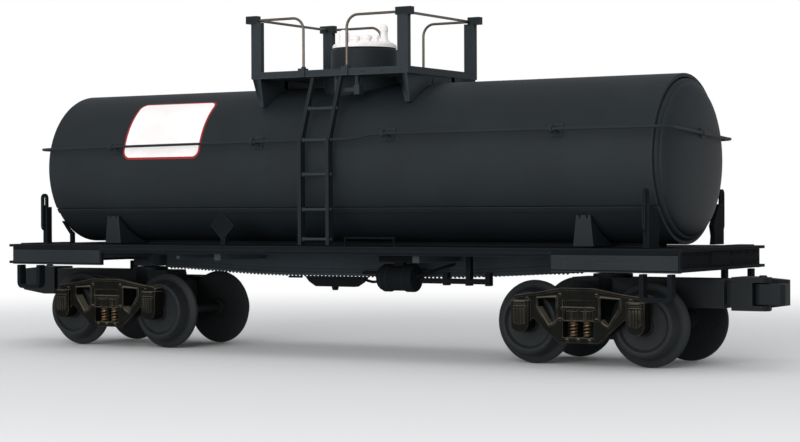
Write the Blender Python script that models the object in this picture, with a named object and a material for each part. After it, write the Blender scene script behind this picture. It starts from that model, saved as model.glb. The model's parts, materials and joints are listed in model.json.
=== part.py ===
"""Model railway tank car, O gauge: a horizontal tank on a flat frame, carried by two four-wheel trucks.

Metres, +Z up. X runs along the car, and the photographed side faces -Y. The origin lies on the floor plane under
the middle of the car, so the wheel flanges touch z = 0. Most pieces are made for one place and set at the others.
"""

import math

import bmesh
import bpy
from mathutils import Vector

# Fit between pieces that touch, and the reach of joined shapes into each other
SEAT_GAP = 0.0003
LAP = 0.0004

# Tank
TANK_RADIUS = 0.0255
TANK_HALF_LENGTH = 0.1122
TANK_LIP = 0.0012
TANK_RECESS = 0.0042
HEAD_BULGE = 0.0038
HEAD_EDGE_ROUND = 0.0012
HEAD_RINGS = 3
SEAM_ANGLE = 32.5
SEAM_BAND_ANGLE = 4.5
BELLY_INSET = 0.0004
TONGUE_HALF_Y = 0.0150
TONGUE_HEIGHT = 0.0015
TONGUE_END_MARGIN = 0.0060
TANK_SIDES = 48

# Deck and its side rails, end panels and channel end sills
DECK_TOP_Z = 0.03483
DECK_THICKNESS = 0.0009
DECK_MARGIN = 0.0070
DECK_END_X = 0.1240
END_FLANGE_REACH = 0.0017
END_WEB_THICKNESS = 0.0012
END_FLANGE_THICKNESS = 0.0009
PANEL_DEPTH = 0.00678
PANEL_LENGTH = 0.0388
PANEL_THICKNESS = 0.0015
RAIL_DEPTH = 0.00263
RAIL_SET_BACK = 0.0003
RIDGE_DROP = 0.00117
RIDGE_SIZE = 0.0005
DECK_HALF_WIDTH = TANK_RADIUS + DECK_MARGIN
DECK_UNDER_Z = DECK_TOP_Z - DECK_THICKNESS
END_WEB_X = DECK_END_X - END_FLANGE_REACH
PANEL_START_X = END_WEB_X - PANEL_LENGTH

# Tank heights and the dome above it
TANK_AXIS_Z = DECK_TOP_Z + SEAT_GAP + TANK_RADIUS
TANK_TOP_Z = TANK_AXIS_Z + TANK_RADIUS
HEAD_CROWN_X = TANK_HALF_LENGTH + HEAD_EDGE_ROUND + HEAD_BULGE
DOME_RADIUS = 0.0129
DOME_RISE = 0.0119
DOME_EDGE = 0.0009
COVER_INSET = 0.0007
COVER_THICKNESS = 0.0013
COVER_EDGE = 0.0004
DOME_SIDES = 32
FITTING_SIDES = 7
DOME_TOP_Z = TANK_TOP_Z + DOME_RISE
# Fittings on the cover: x, y, radius, height above the cover
COVER_FITTINGS = (
    (0.0075, 0.0, 0.0012, 0.0062),
    (-0.0083, 0.0, 0.0017, 0.0052),
    (0.0, 0.0, 0.0026, 0.0024),
    (0.0042, -0.0046, 0.0011, 0.0030),
    (-0.0042, -0.0046, 0.0011, 0.0030),
    (0.0042, 0.0046, 0.0011, 0.0030),
    (-0.0042, 0.0046, 0.0011, 0.0030),
)

# Centre sill, cross bearers and body bolsters under the deck
SILL_WEB_Y = 0.0040
SILL_PLATE = 0.0012
SILL_FLANGE_Y = 0.0056
SILL_FLANGE_THICKNESS = 0.0009
# The sill's lower edge from the middle outwards: x, z
SILL_EDGE = ((0.0240, 0.0248), (0.0391, 0.0251), (0.0502, 0.0256), (0.0690, 0.0266), (0.0775, 0.0267))
BEARER_X = 0.0371
BEARER_DEPTH = 0.0036
BEARER_WIDTH = 0.0024
BEARER_END_MARGIN = 0.0002
BOLSTER_WIDTH = 0.0080
BOLSTER_DEPTH = 0.0032
CENTRE_PLATE_RADIUS = 0.0060
CENTRE_PLATE_Z = 0.0270

# Saddles under the tank and brackets at its left end
SADDLE_HEIGHT = 0.00957
SADDLE_TOP_WIDTH = 0.0047
SADDLE_BASE_WIDTH = 0.0067
SADDLE_LIP = 0.0009
SADDLE_INNER_Y = 0.0070
SADDLE_NOTCH_WIDTH = 0.0008
SADDLE_NOTCH_DEPTH = 0.0014
SADDLE_NOTCH_LENGTH = 0.0030
BRACKET_THICKNESS = 0.0012
BRACKET_FOOT_Y = 0.0148
BRACKET_FOOT_WIDTH = 0.0016
BRACKET_KNEE_HEIGHT = 0.0031
BRACKET_TOP_HEIGHT = 0.0078
BRACKET_LIP = 0.0006

# Corner posts on the deck, each with a slotted loop, and braced at the right end
POST_INSET_X = 0.0124
POST_INSET_Y = 0.0043
POST_SIZE_X = 0.00165
POST_SIZE_Y = 0.0026
POST_HEIGHT = 0.01267
# The brace's inner edge, from the post's top down: distance in from its outer face, height over the deck
POST_BRACE = ((0.0033, 0.01267), (0.00508, 0.01031), (0.00814, 0.00607), (0.00697, 0.00292), (0.00755, 0.0003))
LOOP_PROUD = 0.0001
LOOP_WIDTH = 0.0031
LOOP_THICKNESS = 0.0008
LOOP_BOTTOM = 0.0046
LOOP_TOP = 0.0172
LOOP_RIM = 0.0010
LOOP_SLOT_HEIGHT = 0.0033

# Diamond boards
PLACARD_X = 0.0344
PLACARD_INSET_Y = 0.0015
PLACARD_HEIGHT = 0.0063
PLACARD_HALF = 0.00465
PLACARD_THICKNESS = 0.0008
PLACARD_POST_WIDTH = 0.0018
PLACARD_POST_DEPTH = 0.0016

# Foot stirrups
STIRRUP_INSET_X = 0.0030
STIRRUP_WIDTH = 0.0100
STIRRUP_DROP = 0.0080
STIRRUP_STRAP = 0.0014
STIRRUP_DEPTH = 0.0031
STIRRUP_INSET_Y = 0.0005
STIRRUP_CORNER = 0.0020

# Walkway round the dome
WALK_HALF_X = 0.0294
WALK_HALF_Y = 0.0220
WALK_RISE = 0.0043
WALK_THICKNESS = 0.00215
WALK_POST_X = 0.0037
WALK_POST_Y = 0.0020
WALK_POST_HEIGHT = 0.0158
WALK_CAP_HEIGHT = 0.0024
WALK_CAP_PROUD = 0.0003
# How far a cap stands out past its post and in past it, on the corners where X and Y have like or unlike signs
WALK_CAP_LIKE = (0.0021, -0.0013)
WALK_CAP_UNLIKE = (0.0013, 0.0007)
GUSSET_WIDTH = 0.0030
GUSSET_DROP = 0.0108
GUSSET_TIP = 0.0012
GUSSET_STANDOFF = 0.0020
GUSSET_INNER_Y = 0.0060
WIRE_BOSS_WIDTH = 0.0023
WIRE_BOSS_DEPTH = 0.0026
WIRE_BOSS_HEIGHT = 0.0006
# The hanger under the walkway's near side: first and last x, set back in y, drop, bar size
HANGER_X = (0.0016, 0.0104)
HANGER_SET_BACK = 0.0016
HANGER_DROP = 0.0050
HANGER_SIZE = 0.0011
WALK_TOP_Z = TANK_TOP_Z + WALK_RISE
WALK_LOW_Z = WALK_TOP_Z - WALK_THICKNESS
WALK_POST_TOP_Z = WALK_TOP_Z + WALK_POST_HEIGHT

# Wires between the walkway's posts
WIRE_RADIUS = 0.00043
WIRE_SIDES = 6
WALK_WIRE_LIKE_X = 0.0097
WALK_WIRE_UNLIKE_X = 0.0066
WALK_WIRE_BEND = 0.0040
WALK_WIRE_RISE = 0.0010
WALK_WIRE_Z = WALK_POST_TOP_Z + WALK_WIRE_RISE

# Ladders
LADDER_X = -0.0005
LADDER_HALF_WIDTH = 0.0052
LADDER_STANDOFF = 0.0030
LADDER_BEND = 0.0074
LADDER_TOP_MARGIN = 0.0028
LADDER_TOP_DROP = 0.0013
LADDER_HOOK = 0.0016
LADDER_HOOK_DEPTH = 0.0010
STRINGER_WIDTH = 0.0010
STRINGER_DEPTH = 0.0023
STRINGER_TOP_DEPTH = 0.0014
# Rungs, as shares of the height from the deck to the ladder's top
LADDER_RUNGS = (0.042, 0.220, 0.431, 0.636, 0.828)
LADDER_Y = TANK_RADIUS + LADDER_STANDOFF
LADDER_BEND_Z = TANK_AXIS_Z + LADDER_BEND
LADDER_TOP_Y = WALK_HALF_Y + LADDER_TOP_MARGIN
LADDER_TOP_Z = WALK_LOW_Z - LADDER_TOP_DROP

# Handrail
HANDRAIL_STANDOFF = 0.0030
HANDRAIL_END_MARGIN = 0.0008
HANDRAIL_CORNER = 0.0055
HANDRAIL_FAR_CORNER = 0.0110
# Heights over the tank's axis: along the near side, at the ladders, and where it leaves the tank's end on the far side
HANDRAIL_NEAR_RISE = 0.0088
HANDRAIL_LADDER_RISE = 0.0074
HANDRAIL_LOW_RISE = 0.0065
HANDRAIL_STEP_X = (0.010, 0.024)
STANCHIONS_X = (0.0245, 0.0820)
STANCHION_RADIUS = 0.00056
STANCHION_LUG = 0.0016
STANCHION_LUG_RADIUS = 0.00065
STANCHION_SIDES = 4
HANDRAIL_Y = TANK_RADIUS + HANDRAIL_STANDOFF
HANDRAIL_END_X = HEAD_CROWN_X + HANDRAIL_END_MARGIN
HANDRAIL_NEAR_Z = TANK_AXIS_Z + HANDRAIL_NEAR_RISE
HANDRAIL_LADDER_Z = TANK_AXIS_Z + HANDRAIL_LADDER_RISE
HANDRAIL_LOW_Z = TANK_AXIS_Z + HANDRAIL_LOW_RISE

# Brake gear under the photographed side
BRAKE_Y = -0.0150
HANGER_HALF_Y = 0.0010
VALVE_X = (-0.0203, 0.0032)
VALVE_Y = (-0.0053, -0.0025)
VALVE_DEPTH = 0.0033
# The pan's side from its bottom up: distance in from its end, share of its depth up from its bottom
VALVE_SIDE = ((0.0042, 0.0), (0.0017, 0.45), (0.0, 1.0))
VALVE_NUB_X = -0.0092
VALVE_NUB_DROP = 0.0012
VALVE_NUB_RADIUS = 0.0013
RESERVOIR_Z = 0.0248
RESERVOIR_RADIUS = 0.0040
RESERVOIR_BAND_RADIUS = 0.00435
RESERVOIR_EDGE = 0.0006
# Ends of the reservoir and of its two bands along the car
RESERVOIR_X = (0.0152, 0.0283)
RESERVOIR_BANDS_X = ((0.0169, 0.0192), (0.0250, 0.0283))
RESERVOIR_HANGER_X = (0.0205, 0.0240)
RESERVOIR_SIDES = 18
ROD_X = (0.0300, 0.0546)
ROD_Z = 0.0241
ROD_RADIUS = 0.0009
ROD_NUBS_X = (0.0390, 0.0470, 0.0538)
ROD_NUB_WIDTH = 0.0016
ROD_NUB_HALF_Y = 0.0012
ROD_NUB_BELOW = 0.0013
ROD_NUB_ABOVE = 0.0027

# Trucks and wheelsets, from the truck's centre
TRUCK_X = 0.0882
AXLE_X = 0.0186
AXLE_RADIUS = 0.0015
AXLE_TIP_RADIUS = 0.0011
AXLE_TIP_Y = 0.0224
FLANGE_RADIUS = 0.0125
FLANGE_Y = 0.0155
FLANGE_THICKNESS = 0.0015
FLANGE_ROUND = 0.0006
FLANGE_ROOT = 0.0008
TREAD_INNER_RADIUS = 0.0101
TREAD_OUTER_RADIUS = 0.0093
WHEEL_FACE_Y = 0.0200
WHEEL_EDGE = 0.0004
WHEEL_RIM_RADIUS = 0.0079
WHEEL_DISH = 0.0013
WHEEL_HUB_RADIUS = 0.0030
WHEEL_SIDES = 16
AXLE_Z = FLANGE_RADIUS

# Truck side frame, x and z from the truck's centre
FRAME_INNER_Y = 0.0205
FRAME_OUTER_Y = 0.0240
CHORD_LEDGE = 0.0009
CHORD_THICKNESS = 0.0008
# Top of the arched chord from its middle outwards
CHORD_TOP = ((0.0, 0.02315), (0.0052, 0.02315), (0.0090, 0.02245), (0.0135, 0.02165), (0.0206, 0.02075))
# Lower edge of the frame from the journal box to the middle
FRAME_EDGE = ((0.0149, 0.0142), (0.0104, 0.0104), (0.0064, 0.0070), (0.0, 0.0070))
FRAME_WINDOW = (
    (0.0070, 0.0205), (0.0133, 0.0201), (0.0133, 0.0175), (0.0122, 0.0156), (0.0096, 0.0120), (0.0080, 0.0127),
    (0.0070, 0.0140))
JOURNAL_WIDTH = 0.0058
JOURNAL_TOP_Z = 0.0193
JOURNAL_BOTTOM_Z = 0.0122
JOURNAL_DROP = 0.0025
JOURNAL_PROUD = 0.0012
JOURNAL_LID_INSET = 0.0008
JOURNAL_LID_PROUD = 0.0005
POCKET_HALF_X = 0.0050
POCKET_Z = (0.0086, 0.0133)
RECESS_DEPTH = 0.0008
RECESSES_Z = ((0.0137, 0.0168), (0.0176, 0.0195))
BOLSTER_PAD_X = (0.0005, 0.0040)
BOLSTER_PAD_Z = (0.0141, 0.0164)
SPRING_X = 0.0022
SPRING_RADIUS = 0.0012
SPRING_CORE = 0.0007
SPRING_TURNS = 3
SPRING_SIDES = 6

# Truck frame between the wheels
BEAM_HALF_X = 0.0032
BEAM_Z = (0.0140, 0.0220)
BLOCK_HALF_X = 0.0150
BLOCK_HALF_Y = 0.0065
BLOCK_Z = (0.0072, 0.0219)
ARM_HALF_Y = 0.0055
ARM_Z = (0.0172, 0.0257)
# The arm's inner end, at its top and at its bottom, and its outer end
ARM_START_X = (-0.0110, -0.0130)
ARM_END_X = 0.0377
PLATE_SIDES = 16

# Coupler head and knuckle, from the truck's centre
NECK_END_X = 0.0397
NECK_HALF_Y = 0.0030
NECK_Z = (0.0185, 0.0245)
COUPLER_Z = (0.0166, 0.0263)
COUPLER_HALF_Y = 0.0050
KNUCKLE_PIVOT = (0.0486, -0.0028)
KNUCKLE_RADIUS = 0.0022
EAR_THICKNESS = 0.0015
EAR_REACH = 0.0006
PIN_RADIUS = 0.0014
PIN_RISE = 0.0006
# The guard arm from the head's middle round its tip to the far side: x, y
GUARD_ARM = (
    (0.0492, -0.0004), (0.0502, 0.0018), (0.0528, 0.0030), (0.0538, 0.0042), (0.0538, 0.0054), (0.0529, 0.0058),
    (0.0430, 0.0058))
# The guard arm gets thinner to its tip: where along x and from which y, and by how much at the bottom and the top
GUARD_TAPER_X = (0.0440, 0.0545)
GUARD_TAPER_Y = 0.0010
GUARD_TAPER_LOW = 0.0015
GUARD_TAPER_HIGH = 0.0009
# The knuckle's finger from its pin: x, y
KNUCKLE_FINGER = (
    (0.0, -0.0022), (0.0058, -0.0022), (0.0070, -0.0010), (0.0070, 0.0030), (0.0058, 0.0036), (0.0044, 0.0030),
    (0.0042, 0.0002), (0.0, 0.0018))

# Where pieces made for one corner are set: name, side along X, side along Y
CORNERS = (("right_near", 1, -1), ("right_far", 1, 1), ("left_near", -1, -1), ("left_far", -1, 1))


def material(name, colour, roughness, metallic=0.0):
    """A Principled finish in linear colour."""
    made = bpy.data.materials.new(name)
    made.use_nodes = True
    shader = made.node_tree.nodes["Principled BSDF"]
    shader.inputs["Base Color"].default_value = (*colour, 1.0)
    shader.inputs["Roughness"].default_value = roughness
    shader.inputs["Metallic"].default_value = metallic
    return made


def along(axis, u, v, w):
    """A point whose flat coordinates are u and v and whose height along the axis is w."""
    return {"X": (w, u, v), "Y": (u, w, v), "Z": (u, v, w)}[axis]


def arc(centre, radius, start, end, steps):
    """Points from one angle to another, in degrees, round a centre."""
    turns = [math.radians(start + (end - start) * i / steps) for i in range(steps + 1)]
    return [(centre[0] + radius * math.cos(t), centre[1] + radius * math.sin(t)) for t in turns]


def prism(outline, low, high, axis):
    """A closed solid: a flat outline carried from low to high along an axis."""
    mesh = bmesh.new()
    ends = [[mesh.verts.new(along(axis, u, v, w)) for u, v in outline] for w in (low, high)]
    mesh.faces.new(ends[0])
    mesh.faces.new(list(reversed(ends[1])))
    count = len(outline)
    for i in range(count):
        j = (i + 1) % count
        mesh.faces.new((ends[0][i], ends[1][i], ends[1][j], ends[0][j]))
    bmesh.ops.recalc_face_normals(mesh, faces=mesh.faces)
    return mesh


def box(x, y, z):
    """A block from pairs of limits, in any order."""
    return prism(((x[0], y[0]), (x[1], y[0]), (x[1], y[1]), (x[0], y[1])), z[0], z[1], "Z")


def around(middle, width):
    """A pair of limits about a middle."""
    return (middle - width / 2, middle + width / 2)


def lathe(profile, axis, centre, sides):
    """A turned solid from (radius, height) points. Its first and last points lie on the axis."""
    mesh = bmesh.new()
    rings = []
    for radius, height in profile:
        count = 1 if radius == 0 else sides
        ring = []
        for i in range(count):
            turn = math.tau * i / sides
            flat = (centre[0] + radius * math.cos(turn), centre[1] + radius * math.sin(turn))
            ring.append(mesh.verts.new(along(axis, *flat, height)))
        rings.append(ring)
    for below, above in zip(rings, rings[1:]):
        for i in range(sides):
            j = (i + 1) % sides
            corners = (below[i % len(below)], below[j % len(below)], above[j % len(above)], above[i % len(above)])
            mesh.faces.new(list(dict.fromkeys(corners)))
    bmesh.ops.recalc_face_normals(mesh, faces=mesh.faces)
    return mesh


def drum(radius, low, high, axis, centre, sides):
    """A plain cylinder between two heights."""
    return lathe(((0, low), (radius, low), (radius, high), (0, high)), axis, centre, sides)


def rod(points, radius, sides=WIRE_SIDES):
    """A round wire along a row of points, mitred at each one and flat at both ends."""
    mesh = bmesh.new()
    points = [Vector(point) for point in points]
    steps = [(b - a).normalized() for a, b in zip(points, points[1:])]
    side = steps[0].orthogonal().normalized()
    rings = []
    for i, point in enumerate(points):
        before, after = steps[max(i - 1, 0)], steps[min(i, len(steps) - 1)]
        tangent = (before + after).normalized()
        side = (side - tangent * side.dot(tangent)).normalized()
        other = tangent.cross(side)
        stretch = 1.0 / before.dot(tangent)
        bend = after - before
        ring = []
        for k in range(sides):
            turn = math.tau * (k + 0.5) / sides
            offset = (side * math.cos(turn) + other * math.sin(turn)) * radius
            if bend.length > 0:
                across = bend.normalized()
                offset += across * offset.dot(across) * (stretch - 1.0)
            ring.append(mesh.verts.new(point + offset))
        rings.append(ring)
    for below, above in zip(rings, rings[1:]):
        for k in range(sides):
            m = (k + 1) % sides
            mesh.faces.new((below[k], below[m], above[m], above[k]))
    mesh.faces.new(rings[0])
    mesh.faces.new(list(reversed(rings[-1])))
    bmesh.ops.recalc_face_normals(mesh, faces=mesh.faces)
    return mesh


def mesh_of(name, pieces, cuts=()):
    """One closed mesh: the pieces joined and the cuts taken away, by exact Booleans."""
    def held(shape, label):
        data = bpy.data.meshes.new(label)
        shape.to_mesh(data)
        shape.free()
        made = bpy.data.objects.new(label, data)
        bpy.context.collection.objects.link(made)
        return made

    base = held(pieces[0], name)
    tools = [(held(piece, "join"), "UNION") for piece in pieces[1:]]
    tools += [(held(cut, "cut"), "DIFFERENCE") for cut in cuts]
    for tool, operation in tools:
        step = base.modifiers.new("step", "BOOLEAN")
        step.operation = operation
        step.solver = "EXACT"
        step.object = tool
    bpy.context.view_layer.update()
    graph = bpy.context.evaluated_depsgraph_get()
    result = bpy.data.meshes.new_from_object(base.evaluated_get(graph))
    for made in [base] + [tool for tool, _ in tools]:
        data = made.data
        bpy.data.objects.remove(made)
        bpy.data.meshes.remove(data)
    result.name = name
    return result


def add(name, mesh, finish, parent=None, spin=0.0, offset=(0.0, 0.0, 0.0), sharp=32.0):
    """Puts a mesh in the scene as a named piece with its finish, shaded smooth up to an angle."""
    if mesh.name != name:
        mesh = mesh.copy()
        mesh.name = name
    made = bpy.data.objects.new(name, mesh)
    bpy.context.collection.objects.link(made)
    mesh.materials.clear()
    mesh.materials.append(finish)
    mesh.shade_smooth()
    mesh.set_sharp_from_angle(angle=math.radians(sharp))
    made.parent = parent
    made.rotation_euler = (0.0, 0.0, math.radians(spin))
    made.location = offset
    return made


def empty(name, place, spin, parent=None):
    """A pivot that carries pieces."""
    made = bpy.data.objects.new(name, None)
    bpy.context.collection.objects.link(made)
    made.parent = parent
    made.location = place
    made.rotation_euler = (0.0, 0.0, math.radians(spin))
    return made


def both_ways(points):
    """An outline given for its +u half, from top to bottom, closed by its mirror image."""
    return list(points) + [(-u, v) for u, v in reversed(points) if u > 0]


def swapped(points, side):
    """An outline with its u turned over for the -1 side."""
    return [(side * u, v) for u, v in points]


def tank_half_width(z):
    """How far the tank's skin stands from the car's middle at a height."""
    return math.sqrt(TANK_RADIUS ** 2 - (z - TANK_AXIS_Z) ** 2)


def tank_cylinder(clearance):
    """The tank's outside, grown by a clearance, for cutting what sits on it."""
    reach = HEAD_CROWN_X + TANK_RADIUS
    return drum(TANK_RADIUS + clearance, -reach, reach, "X", (0.0, TANK_AXIS_Z), TANK_SIDES)


def tank_pockets():
    """The round pockets in the shell's two ends that take the heads."""
    floor, mouth = TANK_HALF_LENGTH - TANK_RECESS, TANK_HALF_LENGTH + TANK_RECESS
    radius = TANK_RADIUS - TANK_LIP
    return [drum(radius, side * floor, side * mouth, "X", (0.0, TANK_AXIS_Z), TANK_SIDES) for side in (-1, 1)]


def tongue(clearance):
    """The tongue on the lower shell that keys into the upper one, grown by a clearance."""
    seam_z = TANK_AXIS_Z - TANK_RADIUS * math.sin(math.radians(SEAM_ANGLE))
    half_x = TANK_HALF_LENGTH - TANK_RECESS - TONGUE_END_MARGIN + clearance
    half_y = TONGUE_HALF_Y + clearance
    top = seam_z + TONGUE_HEIGHT + clearance
    return box((-half_x, half_x), (-half_y, half_y), (seam_z - SEAT_GAP - LAP, top))


def make_tank(paint):
    """Upper shell, lower shell with its seam band and tongue, and the two heads in their pockets."""
    centre = (0.0, TANK_AXIS_Z)
    steps = 2 * round(TANK_SIDES * (180 + 2 * SEAM_ANGLE) / 720)
    upper = arc(centre, TANK_RADIUS, -SEAM_ANGLE, 180 + SEAM_ANGLE, steps)
    shell = prism(upper, -TANK_HALF_LENGTH, TANK_HALF_LENGTH, "X")
    add("tank_upper_shell", mesh_of("tank_upper_shell", [shell], tank_pockets() + [tongue(SEAT_GAP)]), paint)

    seam_drop = math.degrees(SEAT_GAP / TANK_RADIUS / math.cos(math.radians(SEAM_ANGLE)))
    top, band = SEAM_ANGLE + seam_drop, SEAM_ANGLE + SEAM_BAND_ANGLE
    lower = arc(centre, TANK_RADIUS, -180 + top, -180 + band, 2)
    lower += arc(centre, TANK_RADIUS - BELLY_INSET, -180 + band, -band, round(TANK_SIDES * (180 - 2 * band) / 360))
    lower += arc(centre, TANK_RADIUS, -band, -top, 2)
    belly = prism(lower, -TANK_HALF_LENGTH, TANK_HALF_LENGTH, "X")
    add("tank_lower_shell", mesh_of("tank_lower_shell", [belly, tongue(0.0)], tank_pockets()), paint)

    seat = TANK_HALF_LENGTH - TANK_RECESS + SEAT_GAP
    rim = TANK_RADIUS - TANK_LIP - SEAT_GAP
    crown_start = rim - HEAD_EDGE_ROUND
    profile = [(0, seat), (rim, seat)]
    profile += [(crown_start + u, TANK_HALF_LENGTH + v) for u, v in arc((0, 0), HEAD_EDGE_ROUND, 0, 90, 2)]
    for i in range(1, HEAD_RINGS + 1):
        turn = math.pi / 2 * i / HEAD_RINGS
        radius = 0 if i == HEAD_RINGS else crown_start * math.cos(turn)
        profile.append((radius, HEAD_CROWN_X - HEAD_BULGE * (1 - math.sin(turn))))
    head = mesh_of("tank_head_right", [lathe(profile, "X", centre, TANK_SIDES)])
    add("tank_head_right", head, paint)
    add("tank_head_left", head, paint, spin=180)


def make_dome(paint, white):
    """The dome on the tank's back, and the cover with its valves."""
    base = TANK_AXIS_Z + tank_half_width(TANK_AXIS_Z + DOME_RADIUS) - LAP
    edge = DOME_RADIUS - DOME_EDGE
    profile = ((0, base), (DOME_RADIUS, base), (DOME_RADIUS, DOME_TOP_Z - DOME_EDGE), (edge, DOME_TOP_Z), (0, DOME_TOP_Z))
    dome = lathe(profile, "Z", (0.0, 0.0), DOME_SIDES)
    add("dome", mesh_of("dome", [dome], [tank_cylinder(SEAT_GAP)]), paint)

    low = DOME_TOP_Z + SEAT_GAP
    top = low + COVER_THICKNESS
    radius = DOME_RADIUS - COVER_INSET
    cover = ((0, low), (radius, low), (radius, top - COVER_EDGE), (radius - COVER_EDGE, top), (0, top))
    pieces = [lathe(cover, "Z", (0.0, 0.0), DOME_SIDES)]
    for x, y, size, height in COVER_FITTINGS:
        tip = top + height
        dome_end = [(u, tip - size + v) for u, v in arc((0, 0), size, 0, 90, 2)[:2]]
        profile = [(0, top - LAP), (size, top - LAP)] + dome_end + [(0, tip)]
        pieces.append(lathe(profile, "Z", (x, y), FITTING_SIDES))
    add("dome_cover", mesh_of("dome_cover", pieces), white)


def walkway_corner(sx, sy):
    """A post with its cap and the gusset below, and the wire's boss, at one corner of the walkway."""
    x, y = WALK_HALF_X, WALK_HALF_Y
    outward, inward = WALK_CAP_LIKE if sx == sy else WALK_CAP_UNLIKE
    post_x = (sx * x, sx * (x - WALK_POST_X))
    post_y = (sy * y, sy * (y - WALK_POST_Y))
    post = box(post_x, post_y, (WALK_LOW_Z + LAP, WALK_POST_TOP_Z + LAP / 2))
    cap_x = (sx * (x + outward), sx * (x - WALK_POST_X - inward))
    cap_y = (sy * (y + WALK_CAP_PROUD), sy * (y - WALK_POST_Y - WALK_CAP_PROUD))
    cap = box(cap_x, cap_y, (WALK_POST_TOP_Z, WALK_POST_TOP_Z + WALK_CAP_HEIGHT))
    tip_z = WALK_TOP_Z - GUSSET_DROP
    tip_y = tank_half_width(tip_z) + GUSSET_STANDOFF
    inner_z = TANK_AXIS_Z + tank_half_width(TANK_AXIS_Z + GUSSET_INNER_Y) - LAP
    outline = ((y - LAP / 4, WALK_LOW_Z + LAP), (tip_y, tip_z), (tip_y - GUSSET_TIP, tip_z),
               (GUSSET_INNER_Y, inner_z), (GUSSET_INNER_Y, WALK_LOW_Z + LAP))
    outer_x = x - LAP
    gusset = prism(swapped(outline, sy), sx * outer_x, sx * (outer_x - GUSSET_WIDTH), "X")
    boss_x = around(sx * (WALK_WIRE_LIKE_X if sx == sy else WALK_WIRE_UNLIKE_X), WIRE_BOSS_WIDTH)
    boss_y = (sy * (y + WIRE_BOSS_DEPTH / 4), sy * (y - WIRE_BOSS_DEPTH * 3 / 4))
    boss = box(boss_x, boss_y, (WALK_LOW_Z, WALK_TOP_Z + WIRE_BOSS_HEIGHT))
    return [post, cap, gusset, boss]


def make_walkway(paint, metal):
    """The platform with its corner posts and gussets, and the six wires between the posts."""
    x, y = WALK_HALF_X, WALK_HALF_Y
    pieces = [box((-x, x), (-y, y), (WALK_LOW_Z, WALK_TOP_Z))]
    wire_y = y - WALK_POST_Y / 2
    for sx in (-1, 1):
        for sy in (-1, 1):
            pieces += walkway_corner(sx, sy)
    hanger_y = (-y + HANGER_SET_BACK, -y + HANGER_SET_BACK + HANGER_SIZE)
    bar_z = WALK_LOW_Z - HANGER_DROP
    pieces.append(box(HANGER_X, hanger_y, (bar_z, bar_z + HANGER_SIZE)))
    for middle in (HANGER_X[0] + HANGER_SIZE / 2, HANGER_X[1] - HANGER_SIZE / 2):
        pieces.append(box(around(middle, HANGER_SIZE * 0.98), hanger_y, (bar_z + LAP, WALK_LOW_Z + LAP)))
    hole = drum(DOME_RADIUS + SEAT_GAP, WALK_LOW_Z - LAP, WALK_TOP_Z + LAP, "Z", (0.0, 0.0), DOME_SIDES)
    add("walkway", mesh_of("walkway", pieces, [hole, tank_cylinder(SEAT_GAP)]), paint)

    foot = WALK_TOP_Z + WIRE_BOSS_HEIGHT + SEAT_GAP
    kinds = (("1", "3", 1, WALK_WIRE_UNLIKE_X, WALK_CAP_UNLIKE[1]), ("2", "4", -1, WALK_WIRE_LIKE_X, WALK_CAP_LIKE[1]))
    for near, far, side, wire_x, inward in kinds:
        cap_face = x - WALK_POST_X - inward - SEAT_GAP
        bend_centre = (wire_x + WALK_WIRE_BEND, WALK_WIRE_Z - WALK_WIRE_BEND)
        flat = [(cap_face, WALK_WIRE_Z)] + arc(bend_centre, WALK_WIRE_BEND, 90, 180, 5) + [(wire_x, foot)]
        wire = mesh_of("walkway_wire_" + near, [rod([(side * u, -wire_y, v) for u, v in flat], WIRE_RADIUS)])
        add("walkway_wire_" + near, wire, metal)
        add("walkway_wire_" + far, wire, metal, spin=180)
    end_y = y - WALK_POST_Y - WALK_CAP_PROUD - SEAT_GAP
    end_x = x - WALK_POST_X / 2
    across = rod([(end_x, -end_y, WALK_WIRE_Z), (end_x, end_y, WALK_WIRE_Z)], WIRE_RADIUS)
    across = mesh_of("walkway_wire_5", [across])
    add("walkway_wire_5", across, metal)
    add("walkway_wire_6", across, metal, spin=180)


def make_ladders(paint):
    """Two ladders from the deck to the platform's edge, upright below and leaning above."""
    foot = DECK_TOP_Z + SEAT_GAP
    depth, top_depth = STRINGER_DEPTH / 2, STRINGER_TOP_DEPTH / 2
    walk_edge = -WALK_HALF_Y - SEAT_GAP
    hook_low = LADDER_TOP_Z + LADDER_HOOK
    outline = (
        (-LADDER_Y - depth, foot), (-LADDER_Y + depth, foot), (-LADDER_Y + depth, LADDER_BEND_Z),
        (-LADDER_TOP_Y + top_depth, LADDER_TOP_Z), (walk_edge, hook_low), (walk_edge, hook_low + LADDER_HOOK_DEPTH),
        (-LADDER_TOP_Y - top_depth, LADDER_TOP_Z + LADDER_HOOK_DEPTH),
        (-LADDER_Y - top_depth, LADDER_BEND_Z + LADDER_HOOK), (-LADDER_Y - depth, LADDER_BEND_Z))
    pieces = []
    for side in (-1, 1):
        middle = LADDER_X + side * LADDER_HALF_WIDTH
        pieces.append(prism(outline, *around(middle, STRINGER_WIDTH), "X"))
    for share in LADDER_RUNGS:
        z = DECK_TOP_Z + (LADDER_TOP_Z - DECK_TOP_Z) * share
        lean = max(0.0, (z - LADDER_BEND_Z) / (LADDER_TOP_Z - LADDER_BEND_Z))
        y = -LADDER_Y + (LADDER_Y - LADDER_TOP_Y) * lean
        pieces.append(rod([(LADDER_X - LADDER_HALF_WIDTH, y, z), (LADDER_X + LADDER_HALF_WIDTH, y, z)], WIRE_RADIUS))
    ladder = mesh_of("ladder_near", pieces)
    add("ladder_near", ladder, paint)
    add("ladder_far", ladder, paint, spin=180)


def handrail_far_z(x):
    """The handrail's height on the far side, where it rises from the tank's end to the ladder."""
    start, end = LADDER_HALF_WIDTH, HANDRAIL_END_X - HANDRAIL_FAR_CORNER
    return HANDRAIL_LADDER_Z + (HANDRAIL_LOW_Z - HANDRAIL_LADDER_Z) * (x - start) / (end - start)


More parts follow.
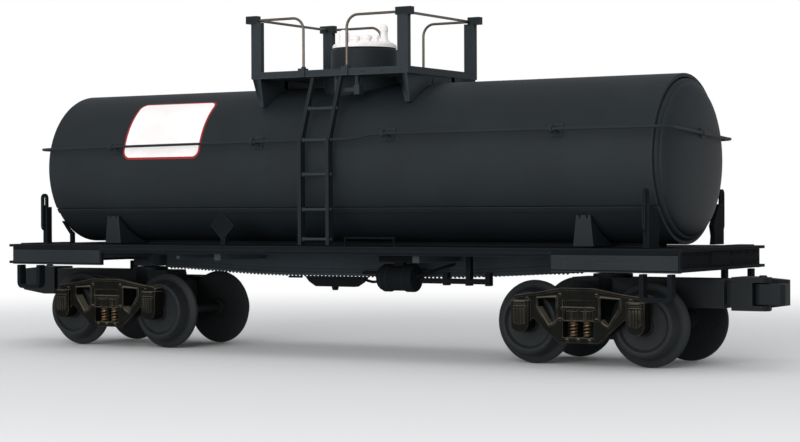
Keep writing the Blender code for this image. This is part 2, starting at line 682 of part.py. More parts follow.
def handrail_route():
    """The right-hand half of the handrail, from one ladder round the tank's end to the other ladder."""
    reach = LADDER_HALF_WIDTH + STRINGER_WIDTH / 2 + SEAT_GAP
    low_x, high_x = HANDRAIL_STEP_X
    near, far = HANDRAIL_CORNER, HANDRAIL_FAR_CORNER
    near_centre = (HANDRAIL_END_X - near, near - HANDRAIL_Y)
    far_centre = (HANDRAIL_END_X - far, HANDRAIL_Y - far)
    near_z, ladder_z, low_z = HANDRAIL_NEAR_Z, HANDRAIL_LADDER_Z, HANDRAIL_LOW_Z
    route = [(LADDER_X + reach, -HANDRAIL_Y, ladder_z), (low_x, -HANDRAIL_Y, ladder_z), (high_x, -HANDRAIL_Y, near_z)]
    route += [(x, y, near_z) for x, y in arc(near_centre, near, -90, 0, 5)]
    route += [(x, y, low_z) for x, y in arc(far_centre, far, 0, 90, 6)]
    route.append((-LADDER_X + reach, HANDRAIL_Y, handrail_far_z(reach)))
    return route


def make_handrails(paint):
    """Each half of the handrail with the stanchions that hold it off the tank."""
    pieces = [rod(handrail_route(), WIRE_RADIUS)]
    for x in STANCHIONS_X:
        for side, z in ((-1, HANDRAIL_NEAR_Z), (1, handrail_far_z(x))):
            foot = tank_half_width(z) + SEAT_GAP * 2
            tip = HANDRAIL_Y + WIRE_RADIUS / 2
            lug = [(x, side * HANDRAIL_Y, z + end * STANCHION_LUG) for end in (-1, 1)]
            pieces.append(rod([(x, side * foot, z), (x, side * tip, z)], STANCHION_RADIUS, STANCHION_SIDES))
            pieces.append(rod(lug, STANCHION_LUG_RADIUS, STANCHION_SIDES))
    middle = (HANDRAIL_NEAR_Z + HANDRAIL_LOW_Z) / 2
    end = [(HEAD_CROWN_X + SEAT_GAP, 0.0, middle), (HANDRAIL_END_X + WIRE_RADIUS / 2, 0.0, middle)]
    pieces.append(rod(end, STANCHION_RADIUS, STANCHION_SIDES))
    half = mesh_of("handrail_right", pieces)
    add("handrail_right", half, paint)
    add("handrail_left", half, paint, spin=180)


def make_deck(paint):
    """The flat deck with its side rails, end panels and channel end sills."""
    x, y = DECK_END_X, DECK_HALF_WIDTH
    inner_y = y - PANEL_THICKNESS
    wall_top = DECK_UNDER_Z + LAP
    panel_low = DECK_TOP_Z - PANEL_DEPTH
    ridge_z = DECK_TOP_Z - RIDGE_DROP
    pieces = [box((-x, x), (-y, y), (DECK_UNDER_Z, DECK_TOP_Z))]
    for side in (-1, 1):
        face = y - RAIL_SET_BACK
        rail = box((-END_WEB_X, END_WEB_X), (side * inner_y, side * face), (DECK_TOP_Z - RAIL_DEPTH, wall_top))
        ridge = box((-PANEL_START_X, PANEL_START_X), (side * (inner_y + LAP), side * (face + RIDGE_SIZE)),
                    (ridge_z - RIDGE_SIZE, ridge_z))
        pieces += [rail, ridge]
        for end in (-1, 1):
            reach = END_WEB_X if end == side else x - SEAT_GAP
            pieces.append(box((end * PANEL_START_X, end * reach), (side * inner_y, side * y), (panel_low, wall_top)))
    for end in (-1, 1):
        web = (end * (END_WEB_X - END_WEB_THICKNESS), end * (END_WEB_X - LAP / 4))
        pieces.append(box(web, (-y + LAP / 4, y - LAP / 4), (panel_low + LAP / 4, wall_top - LAP / 4)))
        flange = (end * (END_WEB_X - END_WEB_THICKNESS - LAP), end * x)
        pieces.append(box(flange, (-y, y), (panel_low + LAP / 2, panel_low + LAP / 2 + END_FLANGE_THICKNESS)))
    add("deck", mesh_of("deck", pieces), paint)


def make_centre_sill(paint):
    """The fishbelly sill with its bottom flange, two cross bearers and the body bolsters, hung under the deck."""
    top = DECK_UNDER_Z - SEAT_GAP
    reach = SILL_EDGE[-1][0]
    lower = list(reversed(SILL_EDGE)) + [(-x, z) for x, z in SILL_EDGE]
    web = [(-reach, top), (reach, top)] + lower
    flange = lower + [(x, z + SILL_FLANGE_THICKNESS) for x, z in reversed(lower)]
    pieces = [prism(web, *around(side * SILL_WEB_Y, SILL_PLATE), "Y") for side in (-1, 1)]
    pieces.append(prism(flange, -SILL_FLANGE_Y, SILL_FLANGE_Y, "Y"))
    half_y = DECK_HALF_WIDTH - PANEL_THICKNESS - SEAT_GAP - BEARER_END_MARGIN
    for end in (-1, 1):
        bearer = box(around(end * BEARER_X, BEARER_WIDTH), (-half_y, half_y), (top - BEARER_DEPTH, top))
        bolster = box(around(end * TRUCK_X, BOLSTER_WIDTH), (-half_y, half_y), (top - BOLSTER_DEPTH, top))
        plate = drum(CENTRE_PLATE_RADIUS, CENTRE_PLATE_Z, top - LAP, "Z", (end * TRUCK_X, 0.0), PLATE_SIDES)
        tie = box((end * (reach - LAP), end * TRUCK_X), (-SILL_WEB_Y, SILL_WEB_Y), (top - BOLSTER_DEPTH + LAP, top - LAP))
        pieces += [bearer, bolster, plate, tie]
    add("centre_sill", mesh_of("centre_sill", pieces), paint)


def make_saddles(paint):
    """Four saddle halves on the deck that cradle the tank."""
    foot, top = DECK_TOP_Z + SEAT_GAP, DECK_TOP_Z + SADDLE_HEIGHT
    half_top, half_base = SADDLE_TOP_WIDTH / 2, SADDLE_BASE_WIDTH / 2
    half_span = tank_half_width(top) + SADDLE_LIP
    outline = ((-half_base, foot), (half_base, foot), (half_top, top), (-half_top, top))
    saddle = prism(outline, -half_span, -SADDLE_INNER_Y, "Y")
    notches = []
    for x in (-half_top / 2, half_top / 2):
        left, right = around(x, SADDLE_NOTCH_WIDTH)
        notch = ((left, top + LAP), (right, top + LAP), (x, top - SADDLE_NOTCH_DEPTH))
        notches.append(prism(notch, -half_span - LAP, -half_span + SADDLE_NOTCH_LENGTH, "Y"))
    made = mesh_of("saddle", [saddle], [tank_cylinder(SEAT_GAP)] + notches)
    for end, x in (("right", TRUCK_X), ("left", -TRUCK_X)):
        add("saddle_" + end + "_near", made, paint, offset=(x, 0, 0))
        add("saddle_" + end + "_far", made, paint, spin=180, offset=(x, 0, 0))
    bpy.data.meshes.remove(made)


def make_end_brackets(paint):
    """Two brackets between the deck and the tank at its left end."""
    foot = DECK_TOP_Z + SEAT_GAP
    grip = TANK_RADIUS + SEAT_GAP
    knee_z, top_z = DECK_TOP_Z + BRACKET_KNEE_HEIGHT, DECK_TOP_Z + BRACKET_TOP_HEIGHT
    start = -math.degrees(math.asin((TANK_AXIS_Z - top_z) / grip))
    end = -math.degrees(math.acos((BRACKET_FOOT_Y - BRACKET_FOOT_WIDTH) / grip))
    inner = arc((0.0, TANK_AXIS_Z), grip, start, end, 5)
    outline = [(inner[0][0] + BRACKET_LIP, top_z)] + inner
    outline += [(BRACKET_FOOT_Y - BRACKET_FOOT_WIDTH, foot), (BRACKET_FOOT_Y, foot), (BRACKET_FOOT_Y, knee_z)]
    for name, side in (("near", -1), ("far", 1)):
        shape = prism(swapped(outline, side), -TANK_HALF_LENGTH, -TANK_HALF_LENGTH + BRACKET_THICKNESS, "X")
        add("end_bracket_left_" + name, mesh_of("end_bracket_left_" + name, [shape]), paint)


def make_end_posts(paint):
    """Four short posts at the deck's corners, each with an oval loop on its outer side, braced at the right end."""
    foot, top = DECK_TOP_Z + SEAT_GAP, DECK_TOP_Z + POST_HEIGHT
    face = DECK_HALF_WIDTH - POST_INSET_Y
    post_x = DECK_END_X - POST_INSET_X
    plain = [(face, foot), (face, top), (face - POST_SIZE_Y, top), (face - POST_SIZE_Y, foot)]
    braced = [(face, foot), (face, top)] + [(face - inward, DECK_TOP_Z + height) for inward, height in POST_BRACE]
    middle = face + LOOP_PROUD
    radius = LOOP_WIDTH / 2
    high, low = DECK_TOP_Z + LOOP_TOP - radius, DECK_TOP_Z + LOOP_BOTTOM + radius
    rim = arc((middle, high), radius, 0, 180, 8) + arc((middle, low), radius, 180, 360, 8)
    slot = radius - LOOP_RIM
    slot_high = DECK_TOP_Z + LOOP_TOP - LOOP_RIM - slot
    slot_low = slot_high - LOOP_SLOT_HEIGHT + 2 * slot
    hole = arc((middle, slot_high), slot, 0, 180, 6) + arc((middle, slot_low), slot, 180, 360, 6)
    for name, sx, sy in CORNERS:
        post = prism(swapped(braced if sx > 0 else plain, sy), *around(sx * post_x, POST_SIZE_X), "X")
        loop = prism(swapped(rim, sy), *around(sx * post_x, LOOP_THICKNESS), "X")
        window = prism(swapped(hole, sy), *around(sx * post_x, 2 * POST_SIZE_X), "X")
        add("end_post_" + name, mesh_of("end_post_" + name, [post, loop], [window]), paint)


def make_placards(paint):
    """A bare diamond board on a short post, one on each side."""
    half = PLACARD_HALF
    middle_z = DECK_TOP_Z + PLACARD_HEIGHT
    diamond = ((0, middle_z - half), (half, middle_z), (0, middle_z + half), (-half, middle_z))
    board = prism(diamond, *around(0.0, PLACARD_THICKNESS), "Y")
    post = box(around(0.0, PLACARD_POST_WIDTH), (0.0, PLACARD_POST_DEPTH), (DECK_TOP_Z + SEAT_GAP, middle_z - half / 2))
    placard = mesh_of("placard_near", [board, post])
    y = DECK_HALF_WIDTH - PLACARD_INSET_Y
    add("placard_near", placard, paint, offset=(-PLACARD_X, -y, 0))
    add("placard_far", placard, paint, spin=180, offset=(PLACARD_X, y, 0))


def make_stirrups(paint):
    """Four U-shaped foot stirrups under the end panels."""
    high_x = DECK_END_X - STIRRUP_INSET_X
    low_x = high_x - STIRRUP_WIDTH
    top = DECK_TOP_Z - PANEL_DEPTH - SEAT_GAP
    bottom, strap, corner = top - STIRRUP_DROP, STIRRUP_STRAP, STIRRUP_CORNER
    left, right = (low_x + corner, bottom + corner), (high_x - corner, bottom + corner)
    outer = [(low_x, top)] + arc(left, corner, 180, 270, 4) + arc(right, corner, 270, 360, 4) + [(high_x, top)]
    inside = corner - strap
    inner = [(high_x - strap, top)] + arc(right, inside, 360, 270, 4) + arc(left, inside, 270, 180, 4)
    inner.append((low_x + strap, top))
    face = DECK_HALF_WIDTH - STIRRUP_INSET_Y
    for name, sx, sy in CORNERS:
        shape = prism(swapped(outer + inner, sx), sy * (face - STIRRUP_DEPTH), sy * face, "Y")
        add("stirrup_" + name, mesh_of("stirrup_" + name, [shape]), paint)


def make_brake_gear(paint):
    """The valve pan under the sill, and the reservoir and the rod that hang beside it."""
    top = DECK_UNDER_Z - SEAT_GAP
    pan_top = SILL_EDGE[0][1] - SEAT_GAP
    pan_low = pan_top - VALVE_DEPTH
    hanger_y = (BRAKE_Y - HANGER_HALF_Y, BRAKE_Y + HANGER_HALF_Y)
    x0, x1 = VALVE_X
    side = [(inset, pan_low + VALVE_DEPTH * share) for inset, share in VALVE_SIDE]
    outline = [(x0 + inset, z) for inset, z in reversed(side)] + [(x1 - inset, z) for inset, z in side]
    pan = prism(outline, *VALVE_Y, "Y")
    nub_top, nub_low = pan_low + LAP, pan_low - VALVE_NUB_DROP
    profile = ((0, nub_low), (VALVE_NUB_RADIUS * 0.7, nub_low), (VALVE_NUB_RADIUS, nub_top), (0, nub_top))
    nub = lathe(profile, "Z", (VALVE_NUB_X, sum(VALVE_Y) / 2), 12)
    add("brake_valve", mesh_of("brake_valve", [pan, nub]), paint)

    start, end = RESERVOIR_X
    radius, band = RESERVOIR_RADIUS, RESERVOIR_BAND_RADIUS
    profile = [(0, start), (radius - RESERVOIR_EDGE, start), (radius, start + RESERVOIR_EDGE)]
    for low, high in RESERVOIR_BANDS_X:
        profile += [(radius, low), (band, low), (band, high), (radius, high)]
    profile[-1] = (0, end)
    tank = lathe(profile, "X", (BRAKE_Y, RESERVOIR_Z), RESERVOIR_SIDES)
    hanger = box(RESERVOIR_HANGER_X, hanger_y, (RESERVOIR_Z, top))
    add("brake_reservoir", mesh_of("brake_reservoir", [tank, hanger]), paint)

    pieces = [rod([(x, BRAKE_Y, ROD_Z) for x in ROD_X], ROD_RADIUS)]
    nub_y = (BRAKE_Y - ROD_NUB_HALF_Y, BRAKE_Y + ROD_NUB_HALF_Y)
    for x in ROD_NUBS_X:
        pieces.append(box(around(x, ROD_NUB_WIDTH), nub_y, (ROD_Z - ROD_NUB_BELOW, ROD_Z + ROD_NUB_ABOVE)))
    pieces.append(box(around(ROD_NUBS_X[1], ROD_NUB_WIDTH), hanger_y, (ROD_Z, top)))
    add("brake_rod", mesh_of("brake_rod", pieces), paint)


def wheel_profile():
    """Half of a wheelset from its middle out to the axle's tip, as (radius, y)."""
    back = FLANGE_Y - FLANGE_THICKNESS
    dish = WHEEL_FACE_Y - WHEEL_DISH
    hub_face = WHEEL_FACE_Y - WHEEL_EDGE / 2
    return [
        (AXLE_RADIUS, back), (FLANGE_RADIUS - FLANGE_ROUND, back), (FLANGE_RADIUS, back + FLANGE_ROUND),
        (FLANGE_RADIUS - FLANGE_ROUND / 2, FLANGE_Y), (TREAD_INNER_RADIUS, FLANGE_Y + FLANGE_ROOT),
        (TREAD_OUTER_RADIUS, WHEEL_FACE_Y - WHEEL_EDGE), (TREAD_OUTER_RADIUS - WHEEL_EDGE, WHEEL_FACE_Y),
        (WHEEL_RIM_RADIUS, WHEEL_FACE_Y), (WHEEL_RIM_RADIUS - WHEEL_DISH, dish),
        (WHEEL_HUB_RADIUS + WHEEL_EDGE, dish), (WHEEL_HUB_RADIUS, hub_face), (AXLE_TIP_RADIUS, hub_face),
        (AXLE_TIP_RADIUS, AXLE_TIP_Y), (0, AXLE_TIP_Y),
    ]


def make_wheelset_mesh():
    """An axle with its two wheels, turned in one piece about Y."""
    half = wheel_profile()
    profile = [(radius, -y) for radius, y in reversed(half)] + half
    return mesh_of("wheelset", [lathe(profile, "Y", (0.0, 0.0), WHEEL_SIDES)])


def spring(x, y):
    """A coil spring as a stack of turned ridges that reaches into the pocket's floor and roof."""
    low, high = POCKET_Z
    pitch = (high - low) / SPRING_TURNS
    profile = [(0, low - LAP), (SPRING_CORE, low - LAP)]
    for i in range(SPRING_TURNS):
        profile += [(SPRING_CORE, low + pitch * i), (SPRING_RADIUS, low + pitch * (i + 0.5))]
    profile += [(SPRING_CORE, high + LAP), (0, high + LAP)]
    return lathe(profile, "Z", (x, y), SPRING_SIDES)


def journal_box(x, half_width, low, high, drop, reach):
    """A bearing box with a round belly, from the frame's inner face out to a reach."""
    belly = arc((x, low), half_width, 180, 360, 6)
    squash = drop / half_width
    outline = [(x - half_width, high)] + [(u, low + (v - low) * squash) for u, v in belly] + [(x + half_width, high)]
    return prism(outline, -reach, -FRAME_INNER_Y - LAP / 2, "Y")


def make_sideframe_mesh():
    """A cast side frame: arched top chord, journal boxes, two windows, recesses and the spring pocket."""
    inner, outer = FRAME_INNER_Y, FRAME_OUTER_Y
    edge = AXLE_X + JOURNAL_WIDTH / 2 - LAP
    chord_low = [(x, z - CHORD_THICKNESS) for x, z in CHORD_TOP]
    plate = [(x, z + CHORD_THICKNESS / 2) for x, z in chord_low[:-1]]
    plate += [(edge, chord_low[-1][1] + CHORD_THICKNESS / 2), (edge, JOURNAL_BOTTOM_Z + LAP)]
    plate += [(AXLE_X - JOURNAL_WIDTH / 2 + LAP, JOURNAL_BOTTOM_Z + LAP)] + list(FRAME_EDGE)
    pieces = [prism(both_ways(plate), -outer, -inner, "Y")]
    chord = list(CHORD_TOP) + list(reversed(chord_low))
    for side in (-1, 1):
        pieces.append(prism(swapped(chord, side), -outer - CHORD_LEDGE, -outer + RECESS_DEPTH, "Y"))
    through = (-outer - JOURNAL_WIDTH, -inner + JOURNAL_WIDTH)
    cuts = []
    for side in (-1, 1):
        x = side * AXLE_X
        half = JOURNAL_WIDTH / 2
        reach = outer + JOURNAL_PROUD
        pieces.append(journal_box(x, half, JOURNAL_BOTTOM_Z, JOURNAL_TOP_Z, JOURNAL_DROP, reach))
        lid_half = half - JOURNAL_LID_INSET
        pieces.append(journal_box(x, lid_half, JOURNAL_BOTTOM_Z + JOURNAL_LID_INSET, JOURNAL_TOP_Z - JOURNAL_LID_INSET * 2,
                                  JOURNAL_DROP - JOURNAL_LID_INSET * 2, reach + JOURNAL_LID_PROUD))
        cuts.append(prism(swapped(FRAME_WINDOW, side), *through, "Y"))
        cuts.append(drum(AXLE_TIP_RADIUS + SEAT_GAP, -AXLE_TIP_Y - SEAT_GAP, -inner + LAP, "Y", (x, AXLE_Z), 16))
    pocket_x = (-POCKET_HALF_X, POCKET_HALF_X)
    cuts.append(box(pocket_x, through, POCKET_Z))
    for limits in RECESSES_Z:
        cuts.append(box(pocket_x, (through[0], -outer + RECESS_DEPTH), limits))
    frame = mesh_of("frame", pieces, cuts)
    shape = bmesh.new()
    shape.from_mesh(frame)
    bpy.data.meshes.remove(frame)
    extras = []
    for side in (-1, 1):
        extras.append(spring(side * SPRING_X, -(inner + outer) / 2))
        pad_x = [side * x for x in BOLSTER_PAD_X]
        extras.append(box(pad_x, (-outer - LAP / 4, -outer + RECESS_DEPTH + LAP), BOLSTER_PAD_Z))
    return mesh_of("sideframe", [shape] + extras)


def make_truck_frame_mesh():
    """The cross beam and block between the wheels, the centre plate, the arm over the outer axle and the coupler head."""
    beam_y = FRAME_INNER_Y - SEAT_GAP
    beam = box((-BEAM_HALF_X, BEAM_HALF_X), (-beam_y, beam_y), BEAM_Z)
    block = box((-BLOCK_HALF_X, BLOCK_HALF_X), (-BLOCK_HALF_Y, BLOCK_HALF_Y), BLOCK_Z)
    plate = drum(CENTRE_PLATE_RADIUS, BLOCK_Z[1] - LAP, CENTRE_PLATE_Z - SEAT_GAP, "Z", (0.0, 0.0), PLATE_SIDES)
    side = ((ARM_START_X[0], ARM_Z[1]), (ARM_END_X, ARM_Z[1]), (ARM_END_X, ARM_Z[0]), (ARM_START_X[1], ARM_Z[0]))
    arm = prism(side, -ARM_HALF_Y, ARM_HALF_Y, "Y")
    neck = box((ARM_END_X - LAP, NECK_END_X + LAP), (-NECK_HALF_Y, NECK_HALF_Y), NECK_Z)
    px, py = KNUCKLE_PIVOT
    half = COUPLER_HALF_Y
    low, high = COUPLER_Z
    head = [(NECK_END_X, -half), (px + EAR_REACH, -half)] + list(GUARD_ARM) + [(NECK_END_X, half)]
    pieces = [beam, block, plate, arm, neck, prism(head, low, high, "Z")]
    pieces.append(drum(KNUCKLE_RADIUS, low, low + EAR_THICKNESS, "Z", KNUCKLE_PIVOT, 16))
    pieces.append(drum(KNUCKLE_RADIUS, high - EAR_THICKNESS, high, "Z", KNUCKLE_PIVOT, 16))
    dome = [(0, high - LAP), (PIN_RADIUS, high - LAP), (PIN_RADIUS, high), (PIN_RADIUS * 0.7, high + PIN_RISE)]
    pieces.append(lathe(dome + [(0, high + PIN_RISE)], "Z", KNUCKLE_PIVOT, 12))
    swing = KNUCKLE_RADIUS + SEAT_GAP
    reach = px + max(x for x, _ in KNUCKLE_FINGER)
    cuts = [box((px - swing, reach), (-half - LAP, py + swing), (low + EAR_THICKNESS, high - EAR_THICKNESS))]
    for upside in (-1, 1):
        edge, tip = ((low, low + GUARD_TAPER_LOW), (high, high - GUARD_TAPER_HIGH))[upside > 0]
        start, end = GUARD_TAPER_X
        wedge = ((start, edge), (end, tip), (end, edge + upside * LAP), (start, edge + upside * LAP))
        cuts.append(prism(wedge, GUARD_TAPER_Y, half + 2 * SEAT_GAP + LAP, "Y"))
    return mesh_of("truck_frame", pieces, cuts)


def make_knuckle_mesh():
    """The swinging finger of the coupler, about its pin at the origin."""
    low, high = COUPLER_Z[0] + EAR_THICKNESS + SEAT_GAP, COUPLER_Z[1] - EAR_THICKNESS - SEAT_GAP
    eye = drum(KNUCKLE_RADIUS, low, high, "Z", (0.0, 0.0), 16)
    return mesh_of("knuckle", [eye, prism(KNUCKLE_FINGER, low, high, "Z")])


def make_trucks(iron, paint, rubbed):
    """Two trucks: each with side frames, a cross frame with the coupler, two wheelsets and a knuckle."""
    wheelset = make_wheelset_mesh()
    sideframe = make_sideframe_mesh()
    cross = make_truck_frame_mesh()
    knuckle = make_knuckle_mesh()
    for end, sign, spin in (("right", 1, 0), ("left", -1, 180)):
        truck = empty("truck_" + end, (sign * TRUCK_X, 0, 0), spin)
        add("sideframe_" + end + "_1", sideframe, iron, truck)
        add("sideframe_" + end + "_2", sideframe, iron, truck, spin=180)
        add("truck_frame_" + end, cross, paint, truck)
        for label, x in (("outer", AXLE_X), ("inner", -AXLE_X)):
            pivot = empty("axle_" + end + "_" + label, (x, 0, AXLE_Z), 0, truck)
            add("wheelset_" + end + "_" + label, wheelset, rubbed, pivot)
        pin = empty("pin_" + end, (*KNUCKLE_PIVOT, 0), 0, truck)
        add("knuckle_" + end, knuckle, paint, pin)
    for shared in (wheelset, sideframe, cross, knuckle):
        bpy.data.meshes.remove(shared)


def main():
    for old in list(bpy.data.objects):
        bpy.data.objects.remove(old)
    tank_paint = material("tank_paint", (0.026, 0.033, 0.037), 0.45)
    frame_paint = material("frame_paint", (0.012, 0.015, 0.018), 0.5)
    cast_iron = material("cast_iron", (0.013, 0.012, 0.010), 0.55, 0.2)
    wheel_steel = material("wheel_steel", (0.035, 0.040, 0.045), 0.4, 0.8)
    rail_metal = material("rail_metal", (0.19, 0.16, 0.14), 0.4, 0.9)
    white_paint = material("white_paint", (0.72, 0.68, 0.67), 0.5)
    make_tank(tank_paint)
    make_dome(tank_paint, white_paint)
    make_walkway(tank_paint, rail_metal)
    make_ladders(frame_paint)
    make_handrails(frame_paint)
    make_deck(frame_paint)
    make_centre_sill(frame_paint)
    make_saddles(tank_paint)
    make_end_brackets(tank_paint)
    make_end_posts(frame_paint)
    make_placards(frame_paint)
    make_stirrups(frame_paint)
    make_brake_gear(frame_paint)
    make_trucks(cast_iron, frame_paint, wheel_steel)


main()
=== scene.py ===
"""Finish and fine detail for the model railway tank car, in metres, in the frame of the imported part.

X runs along the car, the photographed side faces -Y and +Z is up. The tank, dome, walkway, deck, wheels and wires
take their places from the part's own nodes. The tables below hold the fine detail, in millimetres inside mm().
"""

import json
import math

import bmesh
import bpy
from mathutils import Matrix, Vector
from numpy import interp

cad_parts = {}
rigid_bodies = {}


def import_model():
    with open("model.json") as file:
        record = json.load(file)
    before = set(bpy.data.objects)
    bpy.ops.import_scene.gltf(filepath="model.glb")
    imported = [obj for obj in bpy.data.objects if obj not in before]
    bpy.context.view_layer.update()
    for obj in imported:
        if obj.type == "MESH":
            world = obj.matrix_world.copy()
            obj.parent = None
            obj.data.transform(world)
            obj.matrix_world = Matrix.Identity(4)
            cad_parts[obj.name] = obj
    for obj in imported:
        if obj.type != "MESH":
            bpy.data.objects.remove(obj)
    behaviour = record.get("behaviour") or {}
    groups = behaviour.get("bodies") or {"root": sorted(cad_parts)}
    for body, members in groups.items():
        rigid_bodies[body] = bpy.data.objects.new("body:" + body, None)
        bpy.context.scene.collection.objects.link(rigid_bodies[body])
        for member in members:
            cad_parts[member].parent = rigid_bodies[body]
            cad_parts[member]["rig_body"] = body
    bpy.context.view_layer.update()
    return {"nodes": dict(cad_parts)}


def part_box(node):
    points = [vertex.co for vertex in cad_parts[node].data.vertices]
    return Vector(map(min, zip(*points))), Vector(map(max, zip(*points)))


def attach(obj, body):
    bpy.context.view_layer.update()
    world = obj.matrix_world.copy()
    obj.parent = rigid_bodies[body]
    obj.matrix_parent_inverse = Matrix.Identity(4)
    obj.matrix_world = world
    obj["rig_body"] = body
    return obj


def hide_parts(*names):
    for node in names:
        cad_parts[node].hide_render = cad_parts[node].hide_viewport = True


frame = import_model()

bl_info = {
    "name": "Model Tank Car",
    "version": (1, 0, 0),
    "blender": (4, 5, 0),
    "location": "3D View > Sidebar > Tank Car",
    "description": "Dresses the packed tank car with its finishes and fine detail",
    "category": "Object",
}

# Angles over which shading breaks and an edge is rounded, and under which faces are one flat
SMOOTH_ANGLE, ROUND_ANGLE, FLAT_ANGLE = (math.radians(angle) for angle in (35, 30, 1))
WELD = 0.000002
ROUND_SIDES = 32
WIRE_SIDES = 12
FINE_SIDES = 8
# A rivet's outline: share of its radius, share of its height
STUD_PROFILE = ((0, -0.3), (1, -0.3), (1, 0.25), (0.72, 0.78), (0, 1))

# The body that pieces ride on unless they name another
CARBODY = "carbody"
# Half a turn about the car's middle, which makes the left end and the far side
SPIN = Matrix.Rotation(math.pi, 4, "Z")


def mm(value):
    """Millimetres as metres, for a number or for nested rows of them."""
    return tuple(mm(v) for v in value) if isinstance(value, (tuple, list)) else value / 1000


SEAT_GAP = mm(0.3)
LAP = mm(0.3)
EDGE = mm(0.2)
THIN_EDGE = mm(0.1)

# How far the edges of each kept moulding are rounded
MOULDED = (
    ("saddle_", mm(0.2)), ("end_bracket_", mm(0.15)), ("end_post_", mm(0.15)), ("placard_", mm(0.12)),
    ("stirrup_", mm(0.2)), ("knuckle_", mm(0.3)))

# Tank
TANK_LOW, TANK_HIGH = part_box("tank_upper_shell")
TANK_RADIUS = (TANK_HIGH.y - TANK_LOW.y) / 2
TANK_AXIS_Z = TANK_HIGH.z - TANK_RADIUS
TANK_TOP_Z = TANK_HIGH.z
TANK_HALF_LENGTH = TANK_HIGH.x
HEAD_CROWN_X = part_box("tank_head_right")[1].x
TANK_WALL = mm(1.2)
TANK_EDGE = mm(0.25)
TANK_STEPS = 176
# Angle of the seam below the axis, angle of the band under it, and steps along the band
SEAM_ANGLE = 32.5
SEAM_BAND_ANGLE = 4.5
SEAM_STEPS = 4
BELLY_INSET = mm(0.4)
HEAD_DEPTH = mm(3.9)
HEAD_EDGE = mm(1.2)
HEAD_BULGE = mm(3.8)
HEAD_EDGE_STEPS = 6
HEAD_STEPS = 16

# Dome and cover
DOME_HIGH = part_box("dome")[1]
DOME_SEAT = DOME_HIGH.x
DOME_RADIUS = mm(10.9)
# Collar that closes the walkway's opening round the dome: outer radius, radius in the opening, bottom and rise
COLLAR = mm((13.9, 13.1, 88.3, 0.5))
DOME_TOP_Z = DOME_HIGH.z
DOME_EDGE = mm(0.9)
DOME_EDGE_STEPS = 5
DOME_FLARE = mm(0.6)
DOME_STEPS = 96
COVER_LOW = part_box("dome_cover")[0]
COVER_RADIUS = mm(10.4)
COVER_RISE = mm(1.3)
COVER_FACE_Z = COVER_LOW.z + COVER_RISE
# The cover's rim and its turned groove: distance in from the rim in mm, share of the cover's thickness
COVER_DISC = (
    (0.0, 0.0), (0.0, 0.55), (0.15, 0.85), (0.4, 1.0), (1.4, 1.0), (1.5, 0.8), (2.1, 0.8), (2.2, 1.0))
PLUG_LINE = ((1.1, 0.6), (0.8, 0.9), (0, 1.0))
# Fittings on the cover: x, y, and their outline of radius and height over its face
COVER_FITTINGS = mm((
    (7.4, 0.0, ((2.8, 0.15), (2.2, 0.45), (1.6, 0.95), (1.25, 1.6), (1.15, 2.2), (1.15, 3.7), (1.3, 3.9),
                (1.3, 4.7), (1.25, 5.2), (1.0, 5.8), (0.6, 6.1), (0, 6.2))),
    (-7.9, 0.0, ((2.2, 0.4), (1.75, 0.6), (1.7, 0.9), (1.7, 3.6), (1.55, 4.3), (1.15, 4.9), (0.6, 5.15), (0, 5.2))),
    (0.0, 0.0, ((2.6, 0.9), (2.45, 1.1), (0, 1.2))),
    (-3.6, 0.0, ((1.8, 0.3), (1.35, 0.55), (1.35, 1.7), (1.65, 1.85), (1.65, 2.6), (1.4, 2.95), (0.8, 3.1),
                 (0, 3.1))),
    (0.8, 0.0, ((1.9, 0.3), (1.4, 0.55), (1.4, 1.7), (1.7, 1.85), (1.7, 2.6), (1.45, 2.95), (0.9, 3.1), (0, 3.1))),
    (4.2, 0.0, ((1.5, 0.3), (1.0, 0.5), (1.0, 1.8), (1.2, 1.95), (1.2, 2.6), (0.9, 2.9), (0, 3.0))),
    *((x, y, PLUG_LINE) for y in (-4.6, 4.6) for x in (4.2, -4.2))))
COVER_BOLTS = 12
COVER_BOLT_RING = mm(9.3)
COVER_BOLT_RADIUS = mm(0.45)

# Walkway and its wires
WALK_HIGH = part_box("walkway")[1]
# Half the platform's length and half its width
WALK_HALF = mm((29.4, 22.0))
WALK_TOP_Z = TANK_TOP_Z + mm(4.3)
WALK_EDGE = mm(0.25)
CAP_CUT = mm(0.8)
CAP_HEIGHT = mm(3.0)
# Bearers under the walkway's ends: x, then y and z
BEARER_X = mm((26.0, 29.0))
BEARER_YZ = mm(((-8.0, 8.0), (85.0, 88.5)))
# Gussets under the walkway's corners: x, half width, foot and top, and the share that they lose down to the foot
GUSSET_X = mm(27.5)
GUSSET_HALF = mm(1.6)
GUSSET_Z = mm((79.63, 85.0))
GUSSET_TAPER = 0.5
# Treads: pitch, how many are left out at each end, width, rise and distance in from the long edges
TREAD_PITCH = mm(1.6)
TREADS_OUT = 4
TREAD_WIDTH = mm(0.5)
TREAD_RISE = mm(0.15)
TREAD_MARGIN = mm(2.6)
SOCKET_RADIUS = mm(0.75)
SOCKET_RISE = mm(0.7)
# Wires: how many, how many of them bend down to a socket, radius, bend and how far they enter what holds them
WIRES = 6
BENT_WIRES = 4
WIRE_RADIUS = mm(0.43)
WIRE_BEND = mm(4.0)
BEND_STEPS = 10
WIRE_ENTRY = mm(0.4)
# Clamp at the right end of the hanger under the near side: x, y, z
CLAMP = mm(((9.2, 11.2), (-21.2, -18.6), (82.2, 85.2)))
WALK_STUDS_X = mm((-27.0, -20.0, -13.0, 13.0, 20.0, 27.0))
WALK_STUD_DROP = mm(1.05)
FINE_STUD = mm(0.4)

